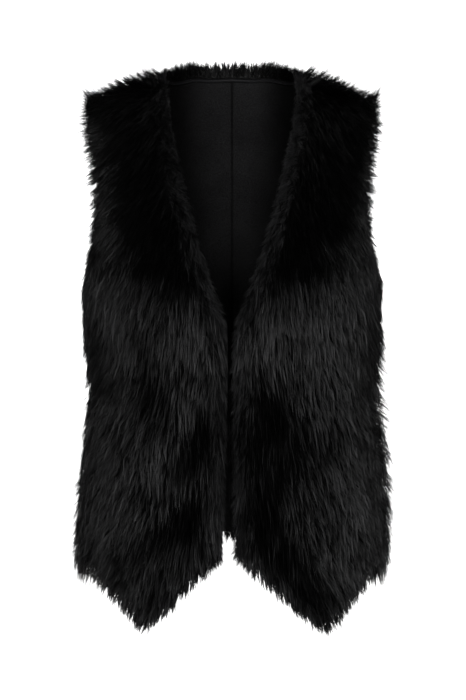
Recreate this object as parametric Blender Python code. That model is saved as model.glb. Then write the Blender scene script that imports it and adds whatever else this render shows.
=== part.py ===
"""A faux fur vest with no sleeves, kept in the hollow form that it has when worn.

Two long-pile fronts meet under a deep V neck and end in points, a long-pile back joins them at the
shoulders and sides, a plain lining in two halves covers the inside of the back, and a narrow piping
finishes the back of the neck. Metres, +Z up. The front faces -Y, so the wearer's left is at +X.
The origin lies midway between the two shoulders that hold the vest up.
"""

import math
from collections import namedtuple

import bpy
import numpy as np

# Thickness of the pieces
CLOTH = 0.002  # knitted ground of the fur with its seam turnings
PILE = 0.0135  # height of the fur as it lies combed down
FUR_WALL = CLOTH + PILE
LINING_WALL = 0.0015
LINING_GAP = 0.0006
PIPING_RADIUS = 0.0017
SEAM_GAP = 0.0003
FRONT_GAP = 0.0014  # the two fronts stand at least this far apart

# How far the fur reaches past the cloth's cut edge
NECK_OVERHANG = 0.006
BACK_NECK_OVERHANG = 0.012
ARMHOLE_OVERHANG = 0.010
HEM_OVERHANG = 0.013

# Levels and widths of the cut, on the inner face of the cloth
CHEST_LEVEL = -0.24  # above this level the form closes over the shoulders
UNDERARM_LEVEL = -0.222
HEM_LEVEL = -0.562
SIDE_HEM_LEVEL = -0.564
CENTRE_FRONT_HEM_LEVEL = -0.565
CENTRE_BACK_HEM_LEVEL = -0.555
NECK_POINT_X = 0.080
NECK_POINT_Z = 0.0135
SHOULDER_TIP_X = 0.173
SHOULDER_SLOPE = 0.35
NECK_RISE = 0.027  # how much the form rises round the neck, so that the back neck stands up
NECK_RISE_OUTSIDE = 0.014
NECK_RISE_WIDTH = 0.054
V_BOTTOM = -0.292
V_CURVE = 1.62
BACK_NECK_TURN = math.radians(60)  # how far over the shoulder line the centre back neck lies
LINING_HEM_RISE = 0.006
LINING_EDGE_INSET = 0.0012
LINING_BELOW_PIPING = 0.0018

# Armhole, as the angle from the centre to its edge
ARMHOLE_WAIST = math.radians(58)
ARMHOLE_WAIST_CLIMB = 0.34

# Outline of the horizontal sections and of the rounding over the shoulders, as powers of an oval
OVAL_POWER = 2.3
FRONT_ROUND = 2.0
BACK_ROUND = 2.5

# Centre front edges: the cloth's distance from the middle at the V's bottom and at the hem
FrontCut = namedtuple("FrontCut", "side v_x hem_x point_x point_z")
LEFT_CUT = FrontCut(+1, 0.0068, 0.0085, 0.108, -0.653)
RIGHT_CUT = FrontCut(-1, 0.0082, 0.0150, 0.1025, -0.650)
POINT_RADIUS = 0.005

# Inner form of the vest at each level
Section = namedtuple("Section", "level half_width front_depth back_depth")
SECTIONS = (
    Section(-0.680, 0.186, 0.120, 0.108),
    Section(-0.560, 0.182, 0.117, 0.107),
    Section(-0.470, 0.176, 0.112, 0.104),
    Section(-0.375, 0.168, 0.106, 0.092),
    Section(-0.285, 0.176, 0.116, 0.098),
    Section(-0.240, 0.177, 0.115, 0.102),
)
TOP_HALF_WIDTH = 0.1785

# Soft folds seen from the front: the ends of the line, half its width and its depth into the body
Fold = namedtuple("Fold", "top_x top_z low_x low_z half_width depth")
LEFT_FOLDS = (
    Fold(0.030, -0.345, 0.044, -0.470, 0.022, 0.010),
    Fold(0.040, -0.500, 0.094, -0.622, 0.022, 0.010),
    Fold(0.084, -0.385, 0.096, -0.455, 0.020, 0.006),
    Fold(0.128, -0.330, 0.122, -0.560, 0.026, -0.004),
    Fold(0.160, -0.290, 0.152, -0.400, 0.018, 0.004),
)
RIGHT_FOLDS = (
    Fold(-0.034, -0.400, -0.062, -0.525, 0.021, 0.010),
    Fold(-0.070, -0.550, -0.113, -0.630, 0.022, 0.009),
    Fold(-0.108, -0.480, -0.070, -0.512, 0.016, 0.006),
    Fold(-0.050, -0.370, -0.096, -0.455, 0.017, -0.005),
    Fold(-0.144, -0.330, -0.132, -0.420, 0.020, 0.006),
)
BACK_FOLDS = (
    Fold(-0.058, -0.330, -0.088, -0.560, 0.024, 0.010),
    Fold(0.052, -0.290, 0.076, -0.560, 0.022, 0.009),
    Fold(0.002, -0.360, 0.012, -0.540, 0.030, -0.005),
    Fold(-0.122, -0.330, -0.100, -0.250, 0.018, 0.005),
    Fold(0.118, -0.320, 0.096, -0.240, 0.018, 0.005),
)
FOLD_SIDE_FADE = math.radians(16)

# How finely the pieces are divided
ROWS_BELOW_CHEST = 14
ROWS_ROUND_UNDERARM = 6
ROWS_TO_SHOULDER = 8
FRONT_COLUMNS = 16
BACK_SIDE_COLUMNS = 7
BACK_NECK_COLUMNS = 6
NECK_SHARE = 0.40  # the part of the back's half width that ends in the neckline
NECK_CORNER_SPREAD = math.radians(15)  # turns the column under the neck point away from the neckline
PIPING_SIDES = 6
RIM_DROP = 0.24  # how much lower than the full pile its rounded free edge is

BLACK_FUR = (0.012, 0.012, 0.013)
BLACK_LINING = (0.022, 0.022, 0.023)
BLACK_PIPING = (0.018, 0.018, 0.019)


def smooth_step(t):
    t = min(1.0, max(0.0, t))
    return t * t * (3 - 2 * t)


def signed_power(value, power):
    return math.copysign(abs(value) ** power, value)


def section_at(level):
    """Half width, front depth and back depth of the inner form, eased between the listed sections."""
    if level <= SECTIONS[0].level:
        return SECTIONS[0][1:]
    for low, high in zip(SECTIONS, SECTIONS[1:]):
        if level <= high.level:
            t = smooth_step((level - low.level) / (high.level - low.level))
            return tuple(a + (b - a) * t for a, b in zip(low[1:], high[1:]))
    top = SECTIONS[-1]
    t = smooth_step((level - top.level) / (UNDERARM_LEVEL - top.level))
    return (top.half_width + (TOP_HALF_WIDTH - top.half_width) * t, *top[2:])


def shoulder_height(x):
    """Height of the line over the shoulders, which climbs towards the neck."""
    return NECK_POINT_Z + SHOULDER_SLOPE * (NECK_POINT_X - math.hypot(x, 0.02))


def neck_rise(x, climb):
    """How much the form stands up round the neck, near its top."""
    inside = smooth_step((NECK_POINT_X + NECK_RISE_OUTSIDE - abs(x)) / NECK_RISE_WIDTH)
    return NECK_RISE * inside * smooth_step((climb - 0.25) / 0.42)


def form_point(angle, climb, back):
    """A point of the inner form.

    angle runs from 0 at the centre to a quarter turn at the side, with the sign of x. climb runs from
    -1 at the hem's level through 0 at the chest to 1 on the line over the shoulders.
    """
    rounding = BACK_ROUND if back else FRONT_ROUND
    level = CHEST_LEVEL + min(climb, 0.0) * (CHEST_LEVEL - HEM_LEVEL)
    half_width, front_depth, back_depth = section_at(level)
    if climb > 0:
        level_here = CHEST_LEVEL + climb * (UNDERARM_LEVEL - CHEST_LEVEL) * 8
        half_width = section_at(level_here)[0]
    x = half_width * signed_power(math.sin(angle), 2 / OVAL_POWER)
    depth = back_depth if back else front_depth
    depth *= signed_power(math.cos(angle), 2 / OVAL_POWER)
    if climb > 0:
        climbed = math.sin(climb * math.pi / 2)
        level = CHEST_LEVEL + (shoulder_height(x) - CHEST_LEVEL) * climbed
        depth *= math.copysign((1 - climbed**rounding) ** (1 / rounding), 1 - climb)
        level += neck_rise(x, climb)
    return np.array((x, depth if back else -depth, level))


def fold_depth(x, z, angle, folds):
    """How far the cloth lies inside the plain form because of its soft folds."""
    depth = 0.0
    for fold in folds:
        along = np.array((fold.low_x - fold.top_x, fold.low_z - fold.top_z))
        offset = np.array((x - fold.top_x, z - fold.top_z))
        share = float(offset @ along / (along @ along))
        nearest = min(1.0, max(0.0, share)) * along
        apart = float(np.linalg.norm(offset - nearest))
        depth += fold.depth * math.exp(-((apart / fold.half_width) ** 2))
    side = math.pi / 2 - abs(angle)
    return depth * smooth_step(side / FOLD_SIDE_FADE)


def place(angle, climb, back, folds):
    """The inner face's point with its folds, and the direction that points out of the vest there."""
    step = 0.01
    point = form_point(angle, climb, back)
    across = form_point(angle + step, climb, back) - form_point(angle - step, climb, back)
    up = form_point(angle, climb + step, back) - form_point(angle, climb - step, back)
    outward = np.cross(up, across) if back else np.cross(across, up)
    outward /= np.linalg.norm(outward)
    return point - outward * fold_depth(point[0], point[2], angle, folds), outward


def angle_of(x, level=CHEST_LEVEL):
    """The angle at which the form is x from the middle."""
    half_width = section_at(level)[0]
    share = min(1.0, abs(x) / half_width)
    return math.copysign(math.asin(share ** (OVAL_POWER / 2)), x)


def climb_of(level):
    """The climb of a level below the chest."""
    return (level - CHEST_LEVEL) / (CHEST_LEVEL - HEM_LEVEL)


UNDERARM_CLIMB = 2 / math.pi * math.asin(
    (UNDERARM_LEVEL - CHEST_LEVEL) / (shoulder_height(TOP_HALF_WIDTH) - CHEST_LEVEL)
)
TIP_ANGLE = angle_of(SHOULDER_TIP_X, UNDERARM_LEVEL)


def armhole_angle(climb):
    """The angle of the side seam, and above the underarm that of the armhole's edge."""
    if climb <= UNDERARM_CLIMB:
        return math.pi / 2
    if climb < ARMHOLE_WAIST_CLIMB:
        share = (ARMHOLE_WAIST_CLIMB - climb) / (ARMHOLE_WAIST_CLIMB - UNDERARM_CLIMB)
        return math.pi / 2 - (math.pi / 2 - ARMHOLE_WAIST) * math.sqrt(1 - share**2)
    share = (climb - ARMHOLE_WAIST_CLIMB) / (1 - ARMHOLE_WAIST_CLIMB)
    return ARMHOLE_WAIST + (TIP_ANGLE - ARMHOLE_WAIST) * share**1.4


def row_climbs():
    """The climb of each row, from the hem to the shoulder, closer together round the armhole's bottom."""
    below = spread_of(-1.0, 0.0, ROWS_BELOW_CHEST + 1)
    quarter = spread_of(0.0, math.pi / 2, ROWS_ROUND_UNDERARM + 1)
    bottom = ARMHOLE_WAIST_CLIMB - UNDERARM_CLIMB
    around = [UNDERARM_CLIMB + bottom * (1 - math.cos(t)) for t in quarter]
    return below + around + spread_of(ARMHOLE_WAIST_CLIMB, 1.0, ROWS_TO_SHOULDER + 1)[1:]


def neck_edge_x(level, cut):
    """How far from the middle the front's inner edge is: the centre front, then the V."""
    if level <= V_BOTTOM:
        share = (V_BOTTOM - level) / (V_BOTTOM - HEM_LEVEL)
        return cut.v_x + (cut.hem_x - cut.v_x) * share
    share = min(1.0, (level - V_BOTTOM) / (NECK_POINT_Z - V_BOTTOM))
    return cut.v_x + (NECK_POINT_X - cut.v_x) * (1 - (1 - share) ** V_CURVE)


def front_edge_angle(climb, cut):
    """The angle of the front's inner edge at a climb."""
    if climb >= 1:
        return angle_of(NECK_POINT_X, UNDERARM_LEVEL)
    x = cut.v_x
    for _ in range(12):
        angle = angle_of(x, CHEST_LEVEL + min(climb, 0.0) * (CHEST_LEVEL - HEM_LEVEL))
        level = form_point(angle, climb, False)[2]
        x = neck_edge_x(level, cut)
    return angle_of(x, level if climb <= 0 else UNDERARM_LEVEL)


def hem_level_of_front(x, cut):
    """The front's hem rises from its point to the centre front and to the side seam."""
    away = x - cut.point_x
    reach = section_at(HEM_LEVEL)[0] - cut.point_x if away > 0 else cut.hem_x - cut.point_x
    end = SIDE_HEM_LEVEL if away > 0 else CENTRE_FRONT_HEM_LEVEL
    rounded = math.hypot(away, POINT_RADIUS) - POINT_RADIUS
    return cut.point_z + (end - cut.point_z) * rounded / (math.hypot(reach, POINT_RADIUS) - POINT_RADIUS)


def spread_of(start, end, count, power=1.0):
    return [start + (end - start) * (i / (count - 1)) ** power for i in range(count)]


def front_grid(cut, folds):
    """Rows of the front's inner face from hem to shoulder, from its inner edge to the side."""
    points, outward = [], []
    for j, climb in enumerate(row_climbs()):
        inner_angle = front_edge_angle(climb, cut)
        outer_angle = armhole_angle(climb)
        fade = max(0.0, 1 - j / ROWS_BELOW_CHEST) ** 1.3
        row, normals = [], []
        for share in spread_of(0.0, 1.0, FRONT_COLUMNS):
            angle = inner_angle + (outer_angle - inner_angle) * share
            x = section_at(HEM_LEVEL)[0] * math.sin(angle) ** (2 / OVAL_POWER)
            hem = climb_of(hem_level_of_front(x, cut))
            here = climb + (hem + 1) * fade
            point, normal = place(cut.side * angle, here, False, folds)
            row.append(point)
            normals.append(normal)
        points.append(row)
        outward.append(normals)
    return np.array(points), np.array(outward)


def back_columns():
    """Signed shares across the back: 1 at the side, NECK_SHARE under the neck point, 0 at the centre."""
    centre = [math.sin(t) for t in spread_of(0.0, math.pi / 2, BACK_NECK_COLUMNS + 1)]
    half = [c * NECK_SHARE for c in centre]
    half += spread_of(NECK_SHARE, 1.0, BACK_SIDE_COLUMNS + 1)[1:]
    return [-h for h in reversed(half[1:])] + half


def back_angle(share, climb):
    """The angle at a share of the way from the centre back to the side."""
    outer_angle = armhole_angle(climb)
    neck_angle = angle_of(NECK_POINT_X, UNDERARM_LEVEL)
    ease = smooth_step(climb)
    under_neck = NECK_SHARE * outer_angle * (1 - ease) + neck_angle * ease
    below = min(1.0, 2 * (1 - climb))
    under_neck += NECK_CORNER_SPREAD * math.sqrt(below) * (1 - below) ** 1.5
    if abs(share) <= NECK_SHARE:
        return math.copysign(under_neck * abs(share) / NECK_SHARE, share)
    rest = (abs(share) - NECK_SHARE) / (1 - NECK_SHARE)
    return math.copysign(under_neck + (outer_angle - under_neck) * rest, share)


def back_climb(share, climb, row):
    """The climb of a point of the back, with the hem's curve below and the neckline above."""
    corner = climb_of(SIDE_HEM_LEVEL)
    centre = climb_of(CENTRE_BACK_HEM_LEVEL)
    hem = centre + (corner - centre) * share**2
    fade = max(0.0, 1 - row / ROWS_BELOW_CHEST) ** 1.3
    here = climb + (hem + 1) * fade
    inside = 1 - (share / NECK_SHARE) ** 2
    if climb > 0 and inside > 0:
        roundness = 0.5 + 1.2 * (1 - climb)
        drop = (1 - BACK_NECK_TURN / (math.pi / 2)) * inside**roundness
        here -= drop * smooth_step((climb - 0.15) / 0.85)
    return here


def back_grid(shares, folds=BACK_FOLDS):
    """Rows of the back's inner face from hem to neck and shoulders, across the given shares."""
    points, outward = [], []
    for j, climb in enumerate(row_climbs()):
        row, normals = [], []
        for share in shares:
            angle = back_angle(share, climb)
            point, normal = place(angle, back_climb(share, climb, j), True, folds)
            row.append(point)
            normals.append(normal)
        points.append(row)
        outward.append(normals)
    return np.array(points), np.array(outward)


def unit(vectors):
    return vectors / np.linalg.norm(vectors, axis=-1, keepdims=True)


def border(rows, columns):
    """The grid's border as (row, column), once round."""
    ring = [(0, i) for i in range(columns)]
    ring += [(j, columns - 1) for j in range(1, rows)]
    ring += [(rows - 1, i) for i in range(columns - 2, -1, -1)]
    ring += [(j, 0) for j in range(rows - 2, 0, -1)]
    return ring


def reaches(grid, outward, overhang):
    """For each border point, how far and which way the pile reaches past the cut.

    overhang holds metres for the "first" and "last" column, by row, and for the "low" and "high" row,
    by column. Nothing reaches past a seam.
    """
    reach = np.zeros_like(grid)
    sides = (
        ("first", (slice(None), 0), (slice(None), 1)),
        ("last", (slice(None), -1), (slice(None), -2)),
        ("low", (0, slice(None)), (1, slice(None))),
        ("high", (-1, slice(None)), (-2, slice(None))),
    )
    for name, where, beside in sides:
        amount = np.array(overhang[name])
        free = np.flatnonzero(amount > 0)
        if len(free) == 0:
            continue
        line = grid[where][free]
        across = unit(np.cross(np.gradient(line, axis=0), outward[where][free]))
        away = line - grid[beside][free]
        across *= np.sign(np.sum(across * away))
        reach[where][free] += across * amount[free, None]
    return reach


def fur_wall(grid, outward, overhang, limits):
    """Vertices and faces of a fur panel: cloth inside, pile outside, rounded where its edge is free.

    limits holds (axis, sign, distance): the panel stays that far off the middle plane of the axis.
    """
    rows, columns = grid.shape[:2]
    reach = reaches(grid, outward, overhang)
    free = np.linalg.norm(reach, axis=2, keepdims=True)
    lower = np.clip(free / NECK_OVERHANG, 0, 1) * RIM_DROP
    outer = grid + outward * FUR_WALL * (1 - lower) + reach * 0.62
    rim_low = grid + outward * FUR_WALL * 0.22 + reach * 0.74
    rim_high = grid + outward * FUR_WALL * (0.60 - 0.4 * lower) + reach
    ring = border(rows, columns)
    vertices = list(grid.reshape(-1, 3)) + list(outer.reshape(-1, 3))
    faces = grid_faces(rows, columns, 0, flip=True)
    faces += grid_faces(rows, columns, rows * columns, flip=False)
    loops = [[j * columns + i for j, i in ring]]
    for rim in (rim_low, rim_high):
        loops.append([len(vertices) + k for k in range(len(ring))])
        vertices += [rim[j, i] for j, i in ring]
    loops.append([rows * columns + j * columns + i for j, i in ring])
    faces += ring_faces(loops)
    vertices = np.array(vertices)
    for axis, sign, distance in limits:
        vertices[:, axis] = sign * np.maximum(sign * vertices[:, axis], distance)
    return vertices, faces


def plain_wall(inner, outer):
    """Vertices and faces of a thin wall between two grids of the same size."""
    rows, columns = inner.shape[:2]
    vertices = list(inner.reshape(-1, 3)) + list(outer.reshape(-1, 3))
    faces = grid_faces(rows, columns, 0, flip=True)
    faces += grid_faces(rows, columns, rows * columns, flip=False)
    ring = border(rows, columns)
    low = [j * columns + i for j, i in ring]
    faces += ring_faces([low, [rows * columns + k for k in low]])
    return vertices, faces


def grid_faces(rows, columns, start, flip):
    faces = []
    for j in range(rows - 1):
        for i in range(columns - 1):
            a = start + j * columns + i
            for face in ((a, a + 1, a + columns + 1), (a, a + columns + 1, a + columns)):
                faces.append(face[::-1] if flip else face)
    return faces


def ring_faces(loops):
    faces = []
    for low, high in zip(loops, loops[1:]):
        count = len(low)
        for k in range(count):
            n = (k + 1) % count
            faces.append((low[k], low[n], high[n], high[k]))
    return faces


def material(name, colour, roughness):
    made = bpy.data.materials.new(name)
    made.use_nodes = True
    shader = made.node_tree.nodes["Principled BSDF"]
    shader.inputs["Base Color"].default_value = (*colour, 1.0)
    shader.inputs["Roughness"].default_value = roughness
    shader.inputs["Metallic"].default_value = 0.0
    return made


def add_solid(name, vertices, faces, finish, mirrored=False):
    """One named object from a closed mesh. A grid built towards -X comes out mirrored, so it is turned."""
    mesh = bpy.data.meshes.new(name)
    if mirrored:
        faces = [face[::-1] for face in faces]
    mesh.from_pydata([tuple(float(c) for c in v) for v in vertices], [], faces)
    mesh.validate()
    mesh.shade_smooth()
    mesh.set_sharp_from_angle(angle=math.radians(50))
    mesh.materials.append(finish)
    made = bpy.data.objects.new(name, mesh)
    bpy.context.scene.collection.objects.link(made)
    return made


def armhole_overhang(full):
    """The overhang along the side seam, then along the armhole, row by row."""
    amounts = []
    for climb in row_climbs():
        amounts.append(full if climb >= UNDERARM_CLIMB else 0.0)
    return amounts


def add_front(name, cut, folds, finish):
    grid, outward = front_grid(cut, folds)
    rows, columns = grid.shape[:2]
    overhang = {
        "first": [NECK_OVERHANG] * rows,
        "last": armhole_overhang(ARMHOLE_OVERHANG),
        "low": [HEM_OVERHANG] * columns,
        "high": [0.0] * columns,
    }
    limits = ((1, -1, SEAM_GAP / 2), (0, cut.side, FRONT_GAP / 2))
    vertices, faces = fur_wall(grid, outward, overhang, limits)
    add_solid(name, vertices, faces, finish, mirrored=cut.side < 0)


def add_back(name, finish):
    shares = back_columns()
    grid, outward = back_grid(shares)
    side = armhole_overhang(ARMHOLE_OVERHANG)
    top = []
    for share in shares:
        inside = 1 - abs(share) / NECK_SHARE
        amount = NECK_OVERHANG + (BACK_NECK_OVERHANG - NECK_OVERHANG) * smooth_step(inside * 2)
        top.append(amount if inside > -0.001 else 0.0)
    overhang = {"first": side, "last": side, "low": [HEM_OVERHANG] * len(shares), "high": top}
    vertices, faces = fur_wall(grid, outward, overhang, ((1, 1, SEAM_GAP / 2),))
    add_solid(name, vertices, faces, finish, mirrored=True)


def surface_normals(grid, outward):
    """The grid's own normals, folds and the rise at the neck included, on the outward side."""
    normals = unit(np.cross(np.gradient(grid, axis=0), np.gradient(grid, axis=1)))
    return normals * np.sign(np.sum(normals * outward, axis=2, keepdims=True))


def along_top(grid, outward):
    """Along the grid's top row: its direction, the surface's normal and the way into the cloth."""
    along = unit(np.gradient(grid[-1], axis=0))
    normal = surface_normals(grid, outward)[-1]
    normal = unit(normal - along * np.sum(normal * along, axis=1, keepdims=True))
    into = np.cross(along, normal)
    return along, normal, into * np.sign(np.sum(into * (grid[-2] - grid[-1])))


def add_lining(name, shares, finish):
    """Half of the back's lining: the back's inner face moved in, cut short at its free edges."""
    grid, outward = back_grid(shares)
    rows, columns = grid.shape[:2]
    line = grid.copy()
    grid[0] += unit(line[1] - line[0]) * LINING_HEM_RISE
    under_neck = [abs(share) < NECK_SHARE + 0.001 for share in shares]
    short = np.where(under_neck, 2 * PIPING_RADIUS + LINING_BELOW_PIPING, LINING_EDGE_INSET)
    grid[-1] += along_top(line, outward)[2] * short[:, None]
    for edge, beside in ((0, 1), (columns - 1, columns - 2)):
        grid[:, edge] += unit(line[:, beside] - line[:, edge]) * LINING_EDGE_INSET
    middle = 0 if shares[0] == 0 else columns - 1
    grid[:, middle, 0] = 0.0
    normals = surface_normals(line, outward)
    outer = grid - normals * LINING_GAP
    vertices, faces = plain_wall(outer - normals * LINING_WALL, outer)
    vertices = np.array(vertices)
    side = 1 if shares[-1] > 0 else -1
    vertices[:, 0] = side * np.maximum(side * vertices[:, 0], SEAM_GAP / 2)
    vertices[:, 1] = np.maximum(vertices[:, 1], SEAM_GAP)
    add_solid(name, vertices, faces, finish, mirrored=True)


def add_neck_piping(name, finish):
    """A round cord along the back neck, inside the fur's edge and above the lining's."""
    shares = [share for share in back_columns() if abs(share) < NECK_SHARE + 0.001]
    grid, outward = back_grid(shares)
    along, normal, down = along_top(grid, outward)
    centre = grid[-1] - normal * (PIPING_RADIUS + LINING_GAP) + down * PIPING_RADIUS
    vertices, faces = [], []
    for j in range(len(centre)):
        for k in range(PIPING_SIDES):
            turn = 2 * math.pi * (k + 0.5) / PIPING_SIDES
            vertices.append(centre[j] + (normal[j] * math.cos(turn) + down[j] * math.sin(turn)) * PIPING_RADIUS)
    loops = [[j * PIPING_SIDES + k for k in range(PIPING_SIDES)] for j in range(len(centre))]
    faces = ring_faces(loops) + [tuple(reversed(loops[0])), tuple(loops[-1])]
    vertices = np.array(vertices)
    vertices[:, 1] = np.maximum(vertices[:, 1], SEAM_GAP)
    add_solid(name, vertices, faces, finish, mirrored=True)


def main():
    for old in list(bpy.data.objects):
        bpy.data.objects.remove(old)
    fur = material("black_fur", BLACK_FUR, 0.55)
    add_front("front_left", LEFT_CUT, LEFT_FOLDS, fur)
    add_front("front_right", RIGHT_CUT, RIGHT_FOLDS, fur)
    add_back("back", fur)
    lining = material("black_lining", BLACK_LINING, 0.8)
    shares = back_columns()
    middle = shares.index(0.0)
    add_lining("back_lining_right", shares[: middle + 1], lining)
    add_lining("back_lining_left", shares[middle:], lining)
    add_neck_piping("neck_piping", material("black_piping", BLACK_PIPING, 0.35))


main()
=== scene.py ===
"""Looks of a faux fur vest: knitted grounds, lining, piping and the pile itself, lock by lock."""

import math
from collections import namedtuple

import bpy
import numpy as np
from bpy.props import FloatProperty, FloatVectorProperty, IntProperty, PointerProperty
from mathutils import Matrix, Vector


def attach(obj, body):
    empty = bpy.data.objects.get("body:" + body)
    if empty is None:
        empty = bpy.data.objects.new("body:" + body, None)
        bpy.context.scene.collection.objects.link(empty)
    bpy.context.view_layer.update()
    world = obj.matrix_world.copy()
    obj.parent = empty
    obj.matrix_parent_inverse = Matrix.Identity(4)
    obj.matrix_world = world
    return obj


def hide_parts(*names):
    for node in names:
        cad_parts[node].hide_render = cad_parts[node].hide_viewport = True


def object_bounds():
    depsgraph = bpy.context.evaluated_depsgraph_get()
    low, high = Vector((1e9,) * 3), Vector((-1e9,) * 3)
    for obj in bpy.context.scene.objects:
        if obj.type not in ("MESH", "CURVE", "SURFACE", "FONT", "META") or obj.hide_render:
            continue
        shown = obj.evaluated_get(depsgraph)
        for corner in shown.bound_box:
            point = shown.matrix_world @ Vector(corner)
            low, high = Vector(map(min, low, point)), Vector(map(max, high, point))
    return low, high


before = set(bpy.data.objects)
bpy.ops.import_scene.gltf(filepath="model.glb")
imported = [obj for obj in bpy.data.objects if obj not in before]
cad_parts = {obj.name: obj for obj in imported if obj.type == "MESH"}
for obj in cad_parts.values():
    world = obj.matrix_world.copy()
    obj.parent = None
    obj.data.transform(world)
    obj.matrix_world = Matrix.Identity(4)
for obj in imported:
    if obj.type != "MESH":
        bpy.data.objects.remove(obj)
CAD_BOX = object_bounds()

bl_info = {
    "name": "Faux fur vest",
    "version": (1, 0, 0),
    "blender": (4, 5, 0),
    "location": "3D View > Sidebar > Vest",
    "description": "Makes the cloth, lining, piping and long pile of a faux fur vest",
    "category": "Object",
}

# sizes of the cut, in metres

CLOTH = 0.002
LINING_WALL = 0.0015
LINING_GAP = 0.0006
LINING_STANDS_OFF = 0.0010
PIPING_RADIUS = 0.0017
SEAM_GAP = 0.0003
SEWN_GAP = 0.00004
LINING_SEAM_X = 0.0006
LINING_SEAM_WIDTH = 0.0030
LINING_SEAM_DIP = 0.0012

NECK_OVERHANG = 0.006
BACK_NECK_OVERHANG = 0.012
ARMHOLE_OVERHANG = 0.010
HEM_OVERHANG = 0.013
# how far the pile may pass the shoulder seam, and the side seam below the armhole
RIDGE_OVERHANG = 0.02
SEAM_REACH = 0.03
PILE_PROUD = 0.0085
GAP_CENTRE_X = -0.0045

CHEST_LEVEL = -0.24
UNDERARM_LEVEL = -0.222
HEM_LEVEL = -0.562
SIDE_HEM_LEVEL = -0.564
CENTRE_FRONT_HEM_LEVEL = -0.565
CENTRE_BACK_HEM_LEVEL = -0.555
NECK_POINT_X = 0.080
NECK_POINT_Z = 0.0135
SHOULDER_TIP_X = 0.173
SHOULDER_SLOPE = 0.35
NECK_RISE = 0.027
NECK_RISE_OUTSIDE = 0.014
NECK_RISE_WIDTH = 0.054
V_BOTTOM = -0.292
V_CURVE = 1.62
BACK_NECK_TURN = math.radians(60)
LINING_HEM_RISE = 0.006
# rows over which the lining gives way at the neck and at the hem
NECK_ROWS = 6
HEM_ROWS = 4
LINING_EDGE_INSET = 0.0012
LINING_BELOW_PIPING = 0.0018

ARMHOLE_WAIST = math.radians(58)
ARMHOLE_WAIST_CLIMB = 0.34

OVAL_POWER = 2.3
FRONT_ROUND = 2.0
BACK_ROUND = 2.5

FrontCut = namedtuple("FrontCut", "side v_x hem_x point_x point_z")
LEFT_CUT = FrontCut(+1, 0.0068, 0.0085, 0.108, -0.653)
RIGHT_CUT = FrontCut(-1, 0.0082, 0.0150, 0.1025, -0.650)
POINT_RADIUS = 0.005

Section = namedtuple("Section", "level half_width front_depth back_depth")
SECTIONS = (
    Section(-0.680, 0.186, 0.120, 0.108),
    Section(-0.560, 0.182, 0.117, 0.107),
    Section(-0.470, 0.176, 0.112, 0.104),
    Section(-0.375, 0.168, 0.106, 0.092),
    Section(-0.285, 0.176, 0.116, 0.098),
    Section(-0.240, 0.177, 0.115, 0.102),
)
TOP_HALF_WIDTH = 0.1785

Fold = namedtuple("Fold", "top_x top_z low_x low_z half_width depth")
LEFT_FOLDS = (
    Fold(0.030, -0.345, 0.044, -0.470, 0.022, 0.010),
    Fold(0.040, -0.500, 0.094, -0.622, 0.022, 0.010),
    Fold(0.084, -0.385, 0.096, -0.455, 0.020, 0.006),
    Fold(0.128, -0.330, 0.122, -0.560, 0.026, -0.004),
    Fold(0.160, -0.290, 0.152, -0.400, 0.018, 0.004),
)
RIGHT_FOLDS = (
    Fold(-0.034, -0.400, -0.062, -0.525, 0.021, 0.010),
    Fold(-0.070, -0.550, -0.113, -0.630, 0.022, 0.009),
    Fold(-0.108, -0.480, -0.070, -0.512, 0.016, 0.006),
    Fold(-0.050, -0.370, -0.096, -0.455, 0.017, -0.005),
    Fold(-0.144, -0.330, -0.132, -0.420, 0.020, 0.006),
)
BACK_FOLDS = (
    Fold(-0.058, -0.330, -0.088, -0.560, 0.024, 0.010),
    Fold(0.052, -0.290, 0.076, -0.560, 0.022, 0.009),
    Fold(0.002, -0.360, 0.012, -0.540, 0.030, -0.005),
    Fold(-0.122, -0.330, -0.100, -0.250, 0.018, 0.005),
    Fold(0.118, -0.320, 0.096, -0.240, 0.018, 0.005),
)
FOLD_SIDE_FADE = math.radians(16)

# ovals round a line in which the pile stands off (stand > 0) or is stroked smooth (stand < 0), and where its
# hair is painted in shade (stand > 0) or lighter as a painted highlight (stand < 0)
Patch = namedtuple("Patch", "top_x top_z low_x low_z reach stand")
LEFT_PATCHES = (
    Patch(0.036, -0.375, 0.040, -0.440, 0.034, 1.20),
    Patch(0.026, -0.460, 0.036, -0.530, 0.023, 0.83),
    Patch(0.040, -0.520, 0.120, -0.635, 0.021, 1.12),
    Patch(0.085, -0.425, 0.118, -0.410, 0.014, 0.75),
    Patch(0.165, -0.260, 0.160, -0.330, 0.016, 0.90),
    Patch(0.040, -0.270, 0.044, -0.330, 0.025, -0.65),
    Patch(0.098, -0.280, 0.108, -0.370, 0.034, -0.91),
    Patch(0.130, -0.200, 0.138, -0.260, 0.025, -0.45),
    Patch(0.125, -0.440, 0.140, -0.500, 0.032, -0.59),
    Patch(0.130, -0.560, 0.122, -0.600, 0.025, -0.39),
)
RIGHT_PATCHES = (
    Patch(-0.024, -0.395, -0.066, -0.455, 0.017, 1.12),
    Patch(-0.040, -0.500, -0.140, -0.585, 0.021, 1.05),
    Patch(-0.160, -0.285, -0.150, -0.360, 0.023, 0.90),
    Patch(-0.104, -0.290, -0.108, -0.340, 0.021, 0.68),
    Patch(-0.092, -0.355, -0.098, -0.385, 0.016, 0.60),
    Patch(-0.048, -0.265, -0.046, -0.315, 0.023, -0.72),
    Patch(-0.044, -0.370, -0.082, -0.440, 0.016, -0.91),
    Patch(-0.086, -0.450, -0.098, -0.500, 0.025, -0.52),
    Patch(-0.130, -0.225, -0.132, -0.270, 0.028, -0.39),
    Patch(-0.026, -0.470, -0.028, -0.540, 0.014, -0.59),
    Patch(-0.080, -0.575, -0.060, -0.610, 0.023, -0.33),
)
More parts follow.
